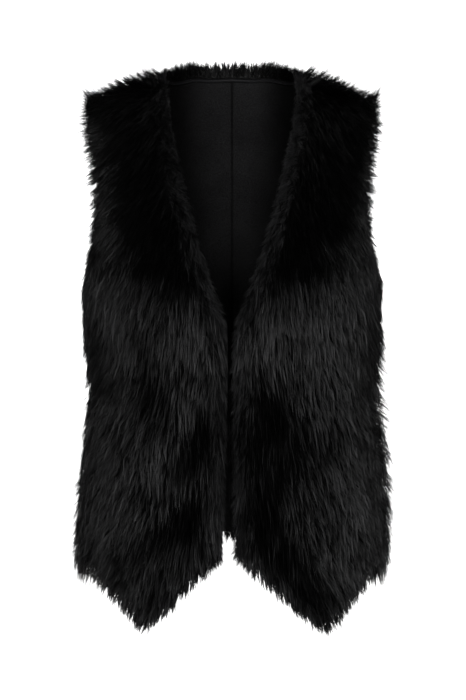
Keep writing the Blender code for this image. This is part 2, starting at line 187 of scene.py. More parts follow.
BACK_PATCHES = (
    Patch(-0.050, -0.340, -0.080, -0.520, 0.025, 0.90),
    Patch(0.060, -0.300, 0.084, -0.540, 0.023, 0.83),
    Patch(0.000, -0.180, 0.010, -0.330, 0.034, -0.65),
    Patch(-0.110, -0.230, -0.120, -0.420, 0.025, -0.59),
    Patch(0.120, -0.320, 0.125, -0.470, 0.028, -0.59),
    Patch(0.010, -0.400, 0.000, -0.520, 0.021, -0.52),
)

MOST_RUFFLED = 0.74
RUFFLED_ROUGHNESS = 0.36
NAP_HEIGHT = 0.0004
# where a front's pile is split and where its shoulder starts, as shares of its rows
FRONT_SPLIT = 0.44
SHOULDER_START = 0.929
EDGE_BAND = 0.017
EDGE_BLUR = 0.006
TUFT_HAIRS = 6
TUFT_SPREAD = 0.0012
HEM_LOCK = 0.026

ROWS_BELOW_CHEST = 36
ROWS_ROUND_UNDERARM = 12
ROWS_TO_SHOULDER = 20
FRONT_COLUMNS = 26
BACK_SIDE_COLUMNS = 14
BACK_NECK_COLUMNS = 10
PILE_ROWS_BELOW_CHEST = 64
PILE_ROWS_ABOVE_CHEST = 52
PILE_FRONT_COLUMNS = 34
PILE_BACK_COLUMNS = 67
NECK_SHARE = 0.40
NECK_CORNER_SPREAD = math.radians(15)

IMAGE_HEIGHT = 700
METRES_PER_PIXEL = 0.00125
CAMERA_DISTANCE = 3.6
VIEW_CENTRE_X = 0.00125
VIEW_CENTRE_Z = -0.32125


# form of the vest


def smooth_step(t):
    t = min(1.0, max(0.0, t))
    return t * t * (3 - 2 * t)


def eased(t):
    """smooth_step for arrays."""
    t = np.clip(t, 0.0, 1.0)
    return t * t * (3 - 2 * t)


def signed_power(value, power):
    return math.copysign(abs(value) ** power, value)


def unit(vectors):
    return vectors / np.maximum(np.linalg.norm(vectors, axis=-1, keepdims=True), 1e-12)


def spread_of(start, end, count):
    return [start + (end - start) * i / (count - 1) for i in range(count)]


def section_at(level):
    """Half width, front depth and back depth of the inner form, eased between the listed sections."""
    if level <= SECTIONS[0].level:
        return SECTIONS[0][1:]
    for low, high in zip(SECTIONS, SECTIONS[1:]):
        if level <= high.level:
            t = smooth_step((level - low.level) / (high.level - low.level))
            return tuple(a + (b - a) * t for a, b in zip(low[1:], high[1:]))
    top = SECTIONS[-1]
    t = smooth_step((level - top.level) / (UNDERARM_LEVEL - top.level))
    return (top.half_width + (TOP_HALF_WIDTH - top.half_width) * t, *top[2:])


def shoulder_height(x):
    return NECK_POINT_Z + SHOULDER_SLOPE * (NECK_POINT_X - math.hypot(x, 0.02))


def neck_rise(x, climb):
    inside = smooth_step((NECK_POINT_X + NECK_RISE_OUTSIDE - abs(x)) / NECK_RISE_WIDTH)
    return NECK_RISE * inside * smooth_step((climb - 0.25) / 0.42)


def form_point(angle, climb, back):
    """A point of the inner form, by the angle from the centre and the climb from hem to shoulder."""
    rounding = BACK_ROUND if back else FRONT_ROUND
    level = CHEST_LEVEL + min(climb, 0.0) * (CHEST_LEVEL - HEM_LEVEL)
    half_width, front_depth, back_depth = section_at(level)
    if climb > 0:
        level_here = CHEST_LEVEL + climb * (UNDERARM_LEVEL - CHEST_LEVEL) * 8
        half_width = section_at(level_here)[0]
    x = half_width * signed_power(math.sin(angle), 2 / OVAL_POWER)
    depth = back_depth if back else front_depth
    depth *= signed_power(math.cos(angle), 2 / OVAL_POWER)
    if climb > 0:
        climbed = math.sin(climb * math.pi / 2)
        level = CHEST_LEVEL + (shoulder_height(x) - CHEST_LEVEL) * climbed
        depth *= math.copysign((1 - climbed**rounding) ** (1 / rounding), 1 - climb)
        level += neck_rise(x, climb)
    return np.array((x, depth if back else -depth, level))


def fold_depth(x, z, angle, folds):
    """How far the cloth lies inside the plain form because of its soft folds."""
    depth = 0.0
    for fold in folds:
        along_x, along_z = fold.low_x - fold.top_x, fold.low_z - fold.top_z
        off_x, off_z = x - fold.top_x, z - fold.top_z
        share = (off_x * along_x + off_z * along_z) / (along_x**2 + along_z**2)
        share = min(1.0, max(0.0, share))
        apart = math.hypot(off_x - along_x * share, off_z - along_z * share)
        depth += fold.depth * math.exp(-((apart / fold.half_width) ** 2))
    side = math.pi / 2 - abs(angle)
    return depth * smooth_step(side / FOLD_SIDE_FADE)


def place(angle, climb, back, folds):
    """The inner face's point with its folds, and the direction that points out of the vest there."""
    step = 0.01
    point = form_point(angle, climb, back)
    across = form_point(angle + step, climb, back) - form_point(angle - step, climb, back)
    up = form_point(angle, climb + step, back) - form_point(angle, climb - step, back)
    outward = np.cross(up, across) if back else np.cross(across, up)
    outward /= np.linalg.norm(outward)
    return point - outward * fold_depth(point[0], point[2], angle, folds), outward


def angle_of(x, level=CHEST_LEVEL):
    """The angle at which the form is x from the middle."""
    share = min(1.0, abs(x) / section_at(level)[0])
    return math.copysign(math.asin(share ** (OVAL_POWER / 2)), x)


def climb_of(level):
    return (level - CHEST_LEVEL) / (CHEST_LEVEL - HEM_LEVEL)


UNDERARM_CLIMB = 2 / math.pi * math.asin(
    (UNDERARM_LEVEL - CHEST_LEVEL) / (shoulder_height(TOP_HALF_WIDTH) - CHEST_LEVEL)
)
TIP_ANGLE = angle_of(SHOULDER_TIP_X, UNDERARM_LEVEL)


def armhole_angle(climb):
    """The angle of the side seam, and above the underarm that of the armhole's edge."""
    if climb <= UNDERARM_CLIMB:
        return math.pi / 2
    if climb < ARMHOLE_WAIST_CLIMB:
        share = (ARMHOLE_WAIST_CLIMB - climb) / (ARMHOLE_WAIST_CLIMB - UNDERARM_CLIMB)
        return math.pi / 2 - (math.pi / 2 - ARMHOLE_WAIST) * math.sqrt(1 - share**2)
    share = (climb - ARMHOLE_WAIST_CLIMB) / (1 - ARMHOLE_WAIST_CLIMB)
    return ARMHOLE_WAIST + (TIP_ANGLE - ARMHOLE_WAIST) * share**1.4


def row_climbs():
    below = spread_of(-1.0, 0.0, ROWS_BELOW_CHEST + 1)
    quarter = spread_of(0.0, math.pi / 2, ROWS_ROUND_UNDERARM + 1)
    bottom = ARMHOLE_WAIST_CLIMB - UNDERARM_CLIMB
    around = [UNDERARM_CLIMB + bottom * (1 - math.cos(t)) for t in quarter]
    return below + around + spread_of(ARMHOLE_WAIST_CLIMB, 1.0, ROWS_TO_SHOULDER + 1)[1:]


def neck_edge_x(level, cut):
    """How far from the middle the front's inner edge is: the centre front, then the V."""
    if level <= V_BOTTOM:
        share = (V_BOTTOM - level) / (V_BOTTOM - HEM_LEVEL)
        return cut.v_x + (cut.hem_x - cut.v_x) * share
    share = min(1.0, (level - V_BOTTOM) / (NECK_POINT_Z - V_BOTTOM))
    return cut.v_x + (NECK_POINT_X - cut.v_x) * (1 - (1 - share) ** V_CURVE)


def front_edge_angle(climb, cut):
    if climb >= 1:
        return angle_of(NECK_POINT_X, UNDERARM_LEVEL)
    x = cut.v_x
    for _ in range(12):
        angle = angle_of(x, CHEST_LEVEL + min(climb, 0.0) * (CHEST_LEVEL - HEM_LEVEL))
        level = form_point(angle, climb, False)[2]
        x = neck_edge_x(level, cut)
    return angle_of(x, level if climb <= 0 else UNDERARM_LEVEL)


def hem_level_of_front(x, cut):
    """The front's hem rises from its point to the centre front and to the side seam."""
    away = x - cut.point_x
    reach = section_at(HEM_LEVEL)[0] - cut.point_x if away > 0 else cut.hem_x - cut.point_x
    end = SIDE_HEM_LEVEL if away > 0 else CENTRE_FRONT_HEM_LEVEL
    rounded = math.hypot(away, POINT_RADIUS) - POINT_RADIUS
    return cut.point_z + (end - cut.point_z) * rounded / (math.hypot(reach, POINT_RADIUS) - POINT_RADIUS)


def back_columns():
    """Signed shares across the back: 1 at the side, NECK_SHARE under the neck point, 0 at the centre."""
    centre = [math.sin(t) for t in spread_of(0.0, math.pi / 2, BACK_NECK_COLUMNS + 1)]
    half = [c * NECK_SHARE for c in centre]
    half += spread_of(NECK_SHARE, 1.0, BACK_SIDE_COLUMNS + 1)[1:]
    return [-h for h in reversed(half[1:])] + half


def under_neck(share):
    return abs(share) < NECK_SHARE + 0.001


def back_angle(share, climb):
    outer_angle = armhole_angle(climb)
    neck_angle = angle_of(NECK_POINT_X, UNDERARM_LEVEL)
    ease = smooth_step(climb)
    neck_end = NECK_SHARE * outer_angle * (1 - ease) + neck_angle * ease
    below = min(1.0, 2 * (1 - climb))
    neck_end += NECK_CORNER_SPREAD * math.sqrt(below) * (1 - below) ** 1.5
    if abs(share) <= NECK_SHARE:
        return math.copysign(neck_end * abs(share) / NECK_SHARE, share)
    rest = (abs(share) - NECK_SHARE) / (1 - NECK_SHARE)
    return math.copysign(neck_end + (outer_angle - neck_end) * rest, share)


def back_climb(share, climb):
    """The climb of a point of the back, with the hem's curve below and the neckline above."""
    corner = climb_of(SIDE_HEM_LEVEL)
    centre = climb_of(CENTRE_BACK_HEM_LEVEL)
    hem = centre + (corner - centre) * share**2
    here = climb + (hem + 1) * max(0.0, -climb) ** 1.3
    inside = 1 - (share / NECK_SHARE) ** 2
    if climb > 0 and inside > 0:
        roundness = 0.5 + 1.2 * (1 - climb)
        drop = (1 - BACK_NECK_TURN / (math.pi / 2)) * inside**roundness
        here -= drop * smooth_step((climb - 0.15) / 0.85)
    return here


class Panel:
    """A panel's inner face as a fine grid, read at any place in it or a little past its edges."""

    def __init__(self, points, outward, climbs):
        self.points = np.array(points)
        self.outward = np.array(outward)
        self.climbs = np.array(climbs)
        self.rows, self.columns = self.points.shape[:2]

    def at(self, row, column):
        """Points and outward directions at places counted in rows and columns."""
        j = np.clip(np.floor(row).astype(int), 0, self.rows - 2)
        i = np.clip(np.floor(column).astype(int), 0, self.columns - 2)
        f, g = (row - j)[:, None], (column - i)[:, None]
        points = self._mix(self.points, j, i, f, g)
        outward = self._mix(self.outward, j, i, np.clip(f, 0, 1), np.clip(g, 0, 1))
        return points, unit(outward)

    @staticmethod
    def _mix(grid, j, i, f, g):
        low = grid[j, i] * (1 - g) + grid[j, i + 1] * g
        high = grid[j + 1, i] * (1 - g) + grid[j + 1, i + 1] * g
        return low * (1 - f) + high * f

    def steps(self, row, column):
        """The way that one row up and one column across lead, at the same places."""
        r = np.clip(row, 0.5, self.rows - 1.5)
        c = np.clip(column, 0.5, self.columns - 1.5)
        up = self.at(r + 0.5, c)[0] - self.at(r - 0.5, c)[0]
        across = self.at(r, c + 0.5)[0] - self.at(r, c - 0.5)[0]
        return up, across

    def climb(self, row):
        return np.interp(row, np.arange(self.rows), self.climbs)

    def scatter(self, rng, count, density):
        """Places spread evenly by area, thinned by density, a function of the panel, row and column."""
        up = np.linalg.norm(np.diff(self.points, axis=0), axis=2)
        across = np.linalg.norm(np.diff(self.points, axis=1), axis=2)
        area = (up[:, 1:] + up[:, :-1]) * (across[1:] + across[:-1]) / 4
        j, i = np.indices(area.shape)
        weight = (area * density(self, j + 0.5, i + 0.5)).ravel()
        # one draw per equal share of the weight keeps the places even
        total = np.cumsum(weight) / weight.sum()
        draws = (np.arange(count) + rng.random(count)) / count
        cell = np.searchsorted(total, draws)
        return cell // area.shape[1] + rng.random(count), cell % area.shape[1] + rng.random(count)


def panel_of(rows, climbs):
    """A panel from its rows of placed points."""
    points = [[point for point, _ in row] for row in rows]
    outward = [[way for _, way in row] for row in rows]
    return Panel(points, outward, climbs)


def front_panel(cut, folds, climbs, columns):
    rows = []
    for climb in climbs:
        inner_angle = front_edge_angle(climb, cut)
        outer_angle = armhole_angle(climb)
        fade = max(0.0, -climb) ** 1.3
        placed = []
        for share in spread_of(0.0, 1.0, columns):
            angle = inner_angle + (outer_angle - inner_angle) * share
            x = section_at(HEM_LEVEL)[0] * math.sin(angle) ** (2 / OVAL_POWER)
            hem = climb_of(hem_level_of_front(x, cut))
            placed.append(place(cut.side * angle, climb + (hem + 1) * fade, False, folds))
        rows.append(placed)
    return panel_of(rows, climbs)


def back_panel(shares, climbs):
    rows = [
        [place(back_angle(share, climb), back_climb(share, climb), True, BACK_FOLDS) for share in shares]
        for climb in climbs
    ]
    return panel_of(rows, climbs)


# meshes


def grid_faces(rows, columns, start, flip):
    faces = []
    for j in range(rows - 1):
        for i in range(columns - 1):
            a = start + j * columns + i
            face = (a, a + 1, a + columns + 1, a + columns)
            faces.append(face[::-1] if flip else face)
    return faces


def wall_between(inner, outer):
    """Vertices and faces of a thin closed wall between two grids of the same size."""
    rows, columns = inner.shape[:2]
    vertices = np.concatenate((inner.reshape(-1, 3), outer.reshape(-1, 3)))
    faces = grid_faces(rows, columns, 0, True) + grid_faces(rows, columns, rows * columns, False)
    ring = [(0, i) for i in range(columns)]
    ring += [(j, columns - 1) for j in range(1, rows)]
    ring += [(rows - 1, i) for i in range(columns - 2, -1, -1)]
    ring += [(j, 0) for j in range(rows - 2, 0, -1)]
    low = [j * columns + i for j, i in ring]
    high = [rows * columns + k for k in low]
    for k in range(len(low)):
        n = (k + 1) % len(low)
        faces.append((low[k], low[n], high[n], high[k]))
    return vertices, faces


def linked(name, mesh, finish):
    """A new object of the mesh, in the scene and with its finish."""
    mesh.materials.append(finish)
    made = bpy.data.objects.new(name, mesh)
    bpy.context.scene.collection.objects.link(made)
    return made


def add_mesh(name, vertices, faces, finish, mirrored=False):
    if mirrored:
        faces = [face[::-1] for face in faces]
    mesh = bpy.data.meshes.new(name)
    mesh.from_pydata([tuple(v) for v in vertices.tolist()], [], faces)
    mesh.shade_smooth()
    mesh.set_sharp_from_angle(angle=math.radians(50))
    return linked(name, mesh, finish)


def add_triangles(name, vertices, triangles, uv, normals, finish):
    """One joined mesh from arrays, with its own map and normals."""
    mesh = bpy.data.meshes.new(name)
    mesh.vertices.add(len(vertices))
    mesh.vertices.foreach_set("co", vertices.astype(np.float32).ravel())
    mesh.loops.add(triangles.size)
    mesh.loops.foreach_set("vertex_index", triangles.astype(np.int32).ravel())
    mesh.polygons.add(len(triangles))
    mesh.polygons.foreach_set("loop_start", np.arange(0, triangles.size, 3, dtype=np.int32))
    mesh.update(calc_edges=True)
    layer = mesh.uv_layers.new(name="OFBake")
    layer.uv.foreach_set("vector", uv[triangles.ravel()].astype(np.float32).ravel())
    mesh.shade_smooth()
    mesh.normals_split_custom_set(normals)
    return linked(name, mesh, finish)


# pile

# a straight hair has a ring of corners at its root and a tip, a bent strand has a second ring between them
HAIR_FACES = np.array(((0, 2, 1), (0, 1, 3), (1, 2, 3), (2, 0, 3)))
STRAND_FACES = np.array(
    (
        (0, 2, 1),
        (0, 1, 4), (0, 4, 3), (1, 2, 5), (1, 5, 4), (2, 0, 3), (2, 3, 5),
        (3, 4, 6), (4, 5, 6), (5, 3, 6),
    )
)
ROOT_WIDTH = 0.8
TONE_WIDTH = 0.006
PATH_STEPS = 6
# hairs start this share of the way up through their cloth
ROOT_DEPTH = 0.6
# a lock is this much longer up the panel than it is wide
LOCK_STRETCH = 2.2
# size from crest to crest, and seed, of the soft waves in the pile's lean, height and tone
LEAN_WAVES = (0.055, 5)
HEIGHT_WAVES = (0.022, 6)
TONE_WAVES = (0.03, 7)


def strand_mesh(points, side, roll, radius, tone):
    """Vertices, triangles, map and round normals of closed three-sided strands, from root to tip."""
    legs = [unit(there - here) for here, there in zip(points, points[1:])]
    rings = len(legs)
    faces = STRAND_FACES if rings == 2 else HAIR_FACES
    count, corners = len(side), 3 * rings + 1
    vertices = np.empty((count, corners, 3))
    away = np.empty((count, corners - 1, 3))
    for ring, leg in enumerate(legs):
        along = unit(legs[ring - 1] + leg) if ring else leg
        across = unit(side - along * np.sum(side * along, axis=1, keepdims=True))
        rise = np.cross(along, across)
        width = radius if ring == rings - 1 else radius * ROOT_WIDTH
        for k in range(3):
            turn = (roll + k * 2 * math.pi / 3)[:, None]
            offset = across * np.cos(turn) + rise * np.sin(turn)
            vertices[:, ring * 3 + k] = points[ring] + offset * width[:, None]
            away[:, ring * 3 + k] = unit(offset)
    vertices[:, -1] = points[-1]
    # a hair shades as round: its normals point straight away from its middle, never along it
    normals = away[:, np.minimum(faces, corners - 2)]
    normals[:, 0] = -legs[0][:, None]
    for face in (-3, -2, -1):
        between = away[:, faces[face, 0]] + away[:, faces[face, 1]]
        between -= legs[-1] * np.sum(between * legs[-1], axis=1, keepdims=True)
        normals[:, face, 2] = unit(between)
    triangles = (np.arange(count) * corners)[:, None, None] + faces[None]
    uv = np.empty((count, corners, 2))
    uv[:, :, 0] = np.clip(tone, 0.02, 0.98)[:, None] + np.array([-1, 0, 1] * rings + [0]) * TONE_WIDTH
    uv[:, :, 1] = np.array([0.02] * 3 + [0.5] * 3 * (rings - 1) + [0.98])
    return vertices.reshape(-1, 3), triangles.reshape(-1, 3), uv.reshape(-1, 2), normals.reshape(-1, 3)


def held_inside(middle, tip):
    """The tips, drawn back where they would leave the room that the pile may take up."""
    way = tip - middle
    low, high = (np.array(corner) for corner in CAD_BOX)
    room = np.where(way > 0, high + PILE_PROUD - middle, low - PILE_PROUD - middle)
    share = np.where(np.abs(way) > 1e-6, room / np.where(np.abs(way) > 1e-6, way, 1.0), 1.0)
    return middle + way * np.clip(share.min(axis=1), 0.2, 1.0)[:, None]


def ripple(points, size, seed):
    """Soft uneven waves between -1 and 1 over the vest, about size metres from crest to crest."""
    rng = np.random.default_rng(seed)
    total = np.zeros(len(points))
    for _ in range(5):
        way = rng.normal(size=3)
        way *= 2 * math.pi / (size * rng.uniform(0.7, 1.6)) / np.linalg.norm(way)
        total += np.sin(points @ way + rng.uniform(0, 2 * math.pi))
    return total / 2.4


def follow(panel, row, column, lean_at, turned, length):
    """The way of each lock over the panel, in PATH_STEPS steps counted in rows and columns."""
    rows, columns = [row], [column]
    ahead = -1.0 if panel.points[0, panel.columns // 2, 1] < 0 else 1.0
    for _ in range(PATH_STEPS):
        up, across = panel.steps(row, column)
        facing = unit(np.cross(up, across))
        # straight down, and over the shoulder's ridge down its own side
        over = 0.7 * eased((panel.climb(row) - 0.55) / 0.4)
        down = np.stack((0 * over, ahead * over, 0 * over - 1), axis=1)
        down = unit(down - facing * np.sum(down * facing, axis=1, keepdims=True))
        aside = np.cross(down, facing)
        aside *= np.sign(np.sum(aside * across, axis=1, keepdims=True))
        inside = np.clip(column, 0, panel.columns - 1)
        lean = lean_at(inside / (panel.columns - 1), panel.climb(row)) + turned
        way = down * np.cos(lean)[:, None] + aside * np.sin(lean)[:, None]
        uu, cc, uc = np.sum(up * up, 1), np.sum(across * across, 1), np.sum(up * across, 1)
        wu, wc = np.sum(way * up, 1), np.sum(way * across, 1)
        det = uu * cc - uc**2
        row = row + (wu * cc - wc * uc) / det * length / PATH_STEPS
        column = column + (wc * uu - wu * uc) / det * length / PATH_STEPS
        rows.append(row)
        columns.append(column)
    return np.array(rows), np.array(columns)


def share_inside(panel, rows, columns, limits):
    """The share of each way that ends before it reaches too far past an edge."""
    up, across = panel.steps(rows[-1], columns[-1])
    row_size, column_size = np.linalg.norm(up, axis=1), np.linalg.norm(across, axis=1)
    low, first, last, high = limits
    past = np.max(
        (
            -rows * row_size - low,
            (rows - (panel.rows - 1)) * row_size - high,
            -columns * column_size - first,
            (columns - (panel.columns - 1)) * column_size - last,
        ),
        axis=0,
    )
    share = np.ones(rows.shape[1])
    for k in range(PATH_STEPS, 0, -1):
        over = past[k] > 0
        part = np.clip(past[k - 1] / np.minimum(past[k - 1] - past[k], -1e-9), 0, 1)
        share = np.where(over, (k - 1 + part) / PATH_STEPS, share)
    return np.maximum(share, 0.12)


def along_way(path, share):
    """Places on the ways, each way's share given per strand; path has one column per strand."""
    at = np.clip(share * PATH_STEPS, 0, PATH_STEPS + 0.5)
    k = np.minimum(at.astype(int), PATH_STEPS - 1)
    n = np.arange(path.shape[1])
    return path[k, n] + (path[k + 1, n] - path[k, n]) * (at - k)


def valued(given, share, climb):
    """A style's value: a plain number, or a function of the share across and the climb."""
    return given(share, climb) if callable(given) else given


def grow(owner, name, seed, style, locks, hairs, spread, radius, density):
    """One piece of a panel's pile: locks whose hairs start apart and come together at the tip."""
    panel = panel_named("pile_" + owner)
    rng = np.random.default_rng(seed)
    row, column = panel.scatter(rng, locks, density)
    climb = panel.climb(row)
    share = column / (panel.columns - 1)

    def said(key):
        return valued(style[key], share, climb)

    where = panel.at(row, column)[0]
    turned = np.radians(style["wave"] * ripple(where, *LEAN_WAVES) + rng.normal(0, style["turn"], locks))
    length = said("length") * rng.uniform(0.8, 1.2, locks)
    height = said("height") * (1 + 0.10 * ripple(where, *HEIGHT_WAVES))
    height *= 1 - style["depth"] * rng.random(locks) ** 1.5
    jag = rng.uniform(0.7, 1.4, locks)
    limits = [valued(far, share, climb) * jag for far in style["limits"]]
    rows, columns = follow(panel, row, column, style["lean"], turned, length)
    scale = share_inside(panel, rows, columns, limits)
    wild = 0.8 * said("side") ** 6 * (rng.random(locks) < 0.30)
    droop = said("droop") * rng.uniform(0.85, 1.15, locks) + wild
    stand = said("stand") + ruffled(where, style["patches"]) + rng.normal(0, 0.08, locks)
    stand = np.clip(stand, -1, 1)
    # at the sides the surface itself turns away from the front
    droop += np.where(stand > 0, (0.50 - 0.55 * said("side") ** 2) * stand, 0.10 * stand)
    middle_level = said("middle") - np.where(stand > 0, 0.36 * stand, 0.04 * stand)
    tone = said("tone") + 0.10 * ripple(where, *TONE_WAVES)
    # painted shade where the pile stands off, and a painted highlight where it is stroked smooth
    tone -= np.where(stand > 0, 0.52 * stand**2, 0.30 * stand)
    # where the pile stands off, the random tone of its hairs differs less, which keeps its painted shade
    # even
    calm = 1 - 0.45 * np.clip(stand, 0, 1)
    tone += rng.normal(0, style["tone_spread"], locks) * calm

    def each(values):
        return np.repeat(values, hairs, axis=-1)

    count = locks * hairs
    up, across = panel.steps(row, column)
    off = rng.normal(0, spread, (count, 2))
    row_off = off[:, 0] * LOCK_STRETCH / each(np.linalg.norm(up, axis=1))
    column_off = off[:, 1] / each(np.linalg.norm(across, axis=1))
    gather = rng.uniform(*style["gather"], count)
    rows, columns, scale = each(rows), each(columns), each(scale)
    ends = []
    for part, held in ((0.0, 1.0), (0.40, 0.95), (rng.uniform(0.78, 1.06, count), gather)):
        place_row = along_way(rows, part * scale) + row_off * held
        place_column = along_way(columns, part * scale) + column_off * held
        ends.append(panel.at(place_row, place_column))
    (root, root_out), (middle, middle_out), (tip, tip_out) = ends
    rounded = 1 - 0.16 * np.minimum((off[:, 1] / spread) ** 2, 4.0)
    level = each(height) * rng.uniform(0.88, 1.05, count) * rounded * (0.55 + 0.45 * scale)
    root = root + root_out * CLOTH * ROOT_DEPTH
    middle = middle + middle_out * (CLOTH + level * each(middle_level))[:, None]
    tip = tip + tip_out * (CLOTH + level * each(droop))[:, None]
    width = radius * rng.uniform(0.75, 1.25, count)
    # a lock's outer strands lie lower and in its shade
    shade = each(tone) + rng.normal(0, 0.16, count) * each(calm)
    shade -= 0.15 * np.minimum((off[:, 1] / spread) ** 2, 3.0)
    roll = rng.uniform(0, 2 * math.pi, count)
    side = np.repeat(unit(across), hairs, axis=0)
    bends = (root,) if style["straight"] else (root, middle)
    points = (*bends, held_inside(bends[-1], tip))
    vertices, triangles, uv, normals = strand_mesh(points, side, roll, width, shade)
    for axis, sign, distance in style["keep_off"]:
        vertices[:, axis] = sign * np.maximum(sign * vertices[:, axis], distance)
    piece = add_triangles(name, vertices, triangles, uv, normals, material_named("combed_pile"))
    finish_piece(piece)
    MADE.setdefault("pieces_" + owner, []).append(piece)


def finish_piece(piece):
    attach(piece, "root")
    return piece


# materials


def new_group(name, inputs, outputs):
    """A node group, the sockets that it is given and the sockets that it gives."""
    group = bpy.data.node_groups.new(name, "ShaderNodeTree")
    for label, kind, value in inputs:
        socket = group.interface.new_socket(label, in_out="INPUT", socket_type="NodeSocket" + kind)
        socket.default_value = value
    for label, kind in outputs:
        group.interface.new_socket(label, in_out="OUTPUT", socket_type="NodeSocket" + kind)
    given, made = group.nodes.new("NodeGroupInput"), group.nodes.new("NodeGroupOutput")
    return group, given.outputs, made.inputs


class Net:
    """Makes the nodes of a tree, each fed with plain values or with other nodes' sockets."""

    def __init__(self, tree):
        self.nodes, self.links = tree.nodes, tree.links

    def feed(self, socket, value):
        if isinstance(value, bpy.types.NodeSocket):
            self.links.new(value, socket)
        else:
            socket.default_value = value

    def add(self, kind, inputs, **settings):
        node = self.nodes.new("ShaderNode" + kind)
        for name, value in settings.items():
            setattr(node, name, value)
        for socket, value in inputs.items():
            self.feed(node.inputs[socket], value)
        return node.outputs

    def maths(self, operation, *values):
        return self.add("Math", dict(enumerate(values)), operation=operation)[0]

    def scaled(self, vector, factor):
        return self.add("VectorMath", {0: vector, "Scale": factor}, operation="SCALE")["Vector"]

    def ranged(self, value, start, end, low, high, way="LINEAR"):
        """low where the value is at start, high where it is at end."""
        inputs = {"Value": value, "From Min": start, "From Max": end, "To Min": low, "To Max": high}
        return self.add("MapRange", inputs, interpolation_type=way)["Result"]


def pile_shade_group():
    """Colour of a strand from its tone and from how far along it a place is."""
    found = bpy.data.node_groups.get("pile_shade")
    if found:
        return found
    group, given, made = new_group(
        "pile_shade",
        (
            ("Tone", "Float", 0.5),
            ("Along", "Float", 0.5),
            ("Dark", "Color", (0.003, 0.003, 0.003, 1)),
            ("Light", "Color", (0.05, 0.05, 0.05, 1)),
            ("Sleek", "Float", 0.42),
            ("Dull", "Float", 0.36),
        ),
        (("Color", "Color"), ("Roughness", "Float")),
    )
    net = Net(group)
    curve = net.maths("POWER", given["Tone"], 2.2)
    blended = {"Factor": curve, "A": given["Dark"], "B": given["Light"]}
    colour = net.add("Mix", blended, data_type="RGBA")["Result"]
    # painted shade: each strand is darker towards its root, where it lies under other hair, and lighter at
    # its tip
    net.feed(made["Color"], net.scaled(colour, net.ranged(given["Along"], 0.0, 1.0, 0.25, 1.15)))
    # pile that stands off has a finish of its own
    finish = net.ranged(given["Tone"], 0.10, 0.50, given["Dull"], given["Sleek"], "SMOOTHSTEP")
    net.feed(made["Roughness"], finish)
    return group


def cloth_grain_and_shade_group():
    """Fine napped surface: a mottled shade and a height, both on object coordinates, with painted shade
    towards the sides and low down and a painted shadow in the seam, where its Sides, Seam and Low ask for
    them.
    """
    found = bpy.data.node_groups.get("cloth_grain_and_shade")
    if found:
        return found
    group, given, made = new_group(
        "cloth_grain_and_shade",
        (
            ("Scale", "Float", 900.0),
            ("Color", "Color", (0.02, 0.02, 0.02, 1)),
            ("Depth", "Float", 0.3),
            ("Sides", "Float", 1.0),
            ("Seam", "Float", 1.0),
            ("Low", "Float", 1.0),
        ),
        (("Color", "Color"), ("Height", "Float")),
    )
    net = Net(group)
    where = net.add("TexCoord", {})["Object"]
    fine = net.add("TexNoise", {"Detail": 3.0, "Vector": where, "Scale": given["Scale"]})["Fac"]
    broad = net.add("TexNoise", {"Scale": 14.0, "Vector": where})["Fac"]
    mottle = net.maths("MULTIPLY_ADD", broad, 0.5, fine)
    colour = net.scaled(
        given["Color"], net.ranged(mottle, 0.56, 0.94, net.maths("SUBTRACT", 1.0, given["Depth"]), 1.3)
    )
    # painted shade: lightest high up in the middle, darker towards the sides and low down, with a painted
    # shadow in the seam
    apart = net.add("SeparateXYZ", {"Vector": where})
    away = net.maths("ABSOLUTE", apart["X"])
    fall = net.ranged(away, 0.012, 0.075, 1.0, given["Sides"], "SMOOTHSTEP")
    seam = net.ranged(away, 0.0007, 0.0014, given["Seam"], 1.0)
    lower = net.ranged(apart["Z"], -0.16, -0.06, given["Low"], 1.0, "SMOOTHSTEP")
    light = net.maths("MULTIPLY", net.maths("MULTIPLY", fall, seam), lower)
    net.feed(made["Color"], net.scaled(colour, light))
    net.feed(made["Height"], fine)
    return group


def plain_material(name, colour, roughness, gloss=0.5):
    made = bpy.data.materials.new(name)
    made.use_nodes = True
    shader = made.node_tree.nodes["Principled BSDF"].inputs
    shader["Base Color"].default_value = (*colour, 1.0)
    shader["Roughness"].default_value = roughness
    shader["Specular IOR Level"].default_value = gloss
    return made, shader, Net(made.node_tree)


def pile_material(colours):
    made, shader, net = plain_material(
        "combed_pile", colours.fur_dark, colours.fur_roughness, colours.fur_gloss
    )
    apart = net.add("SeparateXYZ", {"Vector": net.add("UVMap", {}, uv_map="OFBake")["UV"]})
    given = {
        "Tone": apart["X"],
        "Along": apart["Y"],
        "Dark": (*colours.fur_dark, 1),
        "Light": (*colours.fur_light, 1),
        "Sleek": colours.fur_roughness,
        "Dull": RUFFLED_ROUGHNESS,
    }
    shade = net.add("Group", given, node_tree=pile_shade_group())
    net.feed(shader["Base Color"], shade["Color"])
    net.feed(shader["Roughness"], shade["Roughness"])
    return made


def cloth_material(name, colour, roughness, gloss, relief, **given):
    made, shader, net = plain_material(name, colour, roughness, gloss)
    given["Color"] = (*colour, 1)
    grain_and_shade = net.add("Group", given, node_tree=cloth_grain_and_shade_group())
    net.feed(shader["Base Color"], grain_and_shade["Color"])
    bumps = {"Strength": relief, "Distance": NAP_HEIGHT, "Height": grain_and_shade["Height"]}
    net.feed(shader["Normal"], net.add("Bump", bumps)["Normal"])
    return made


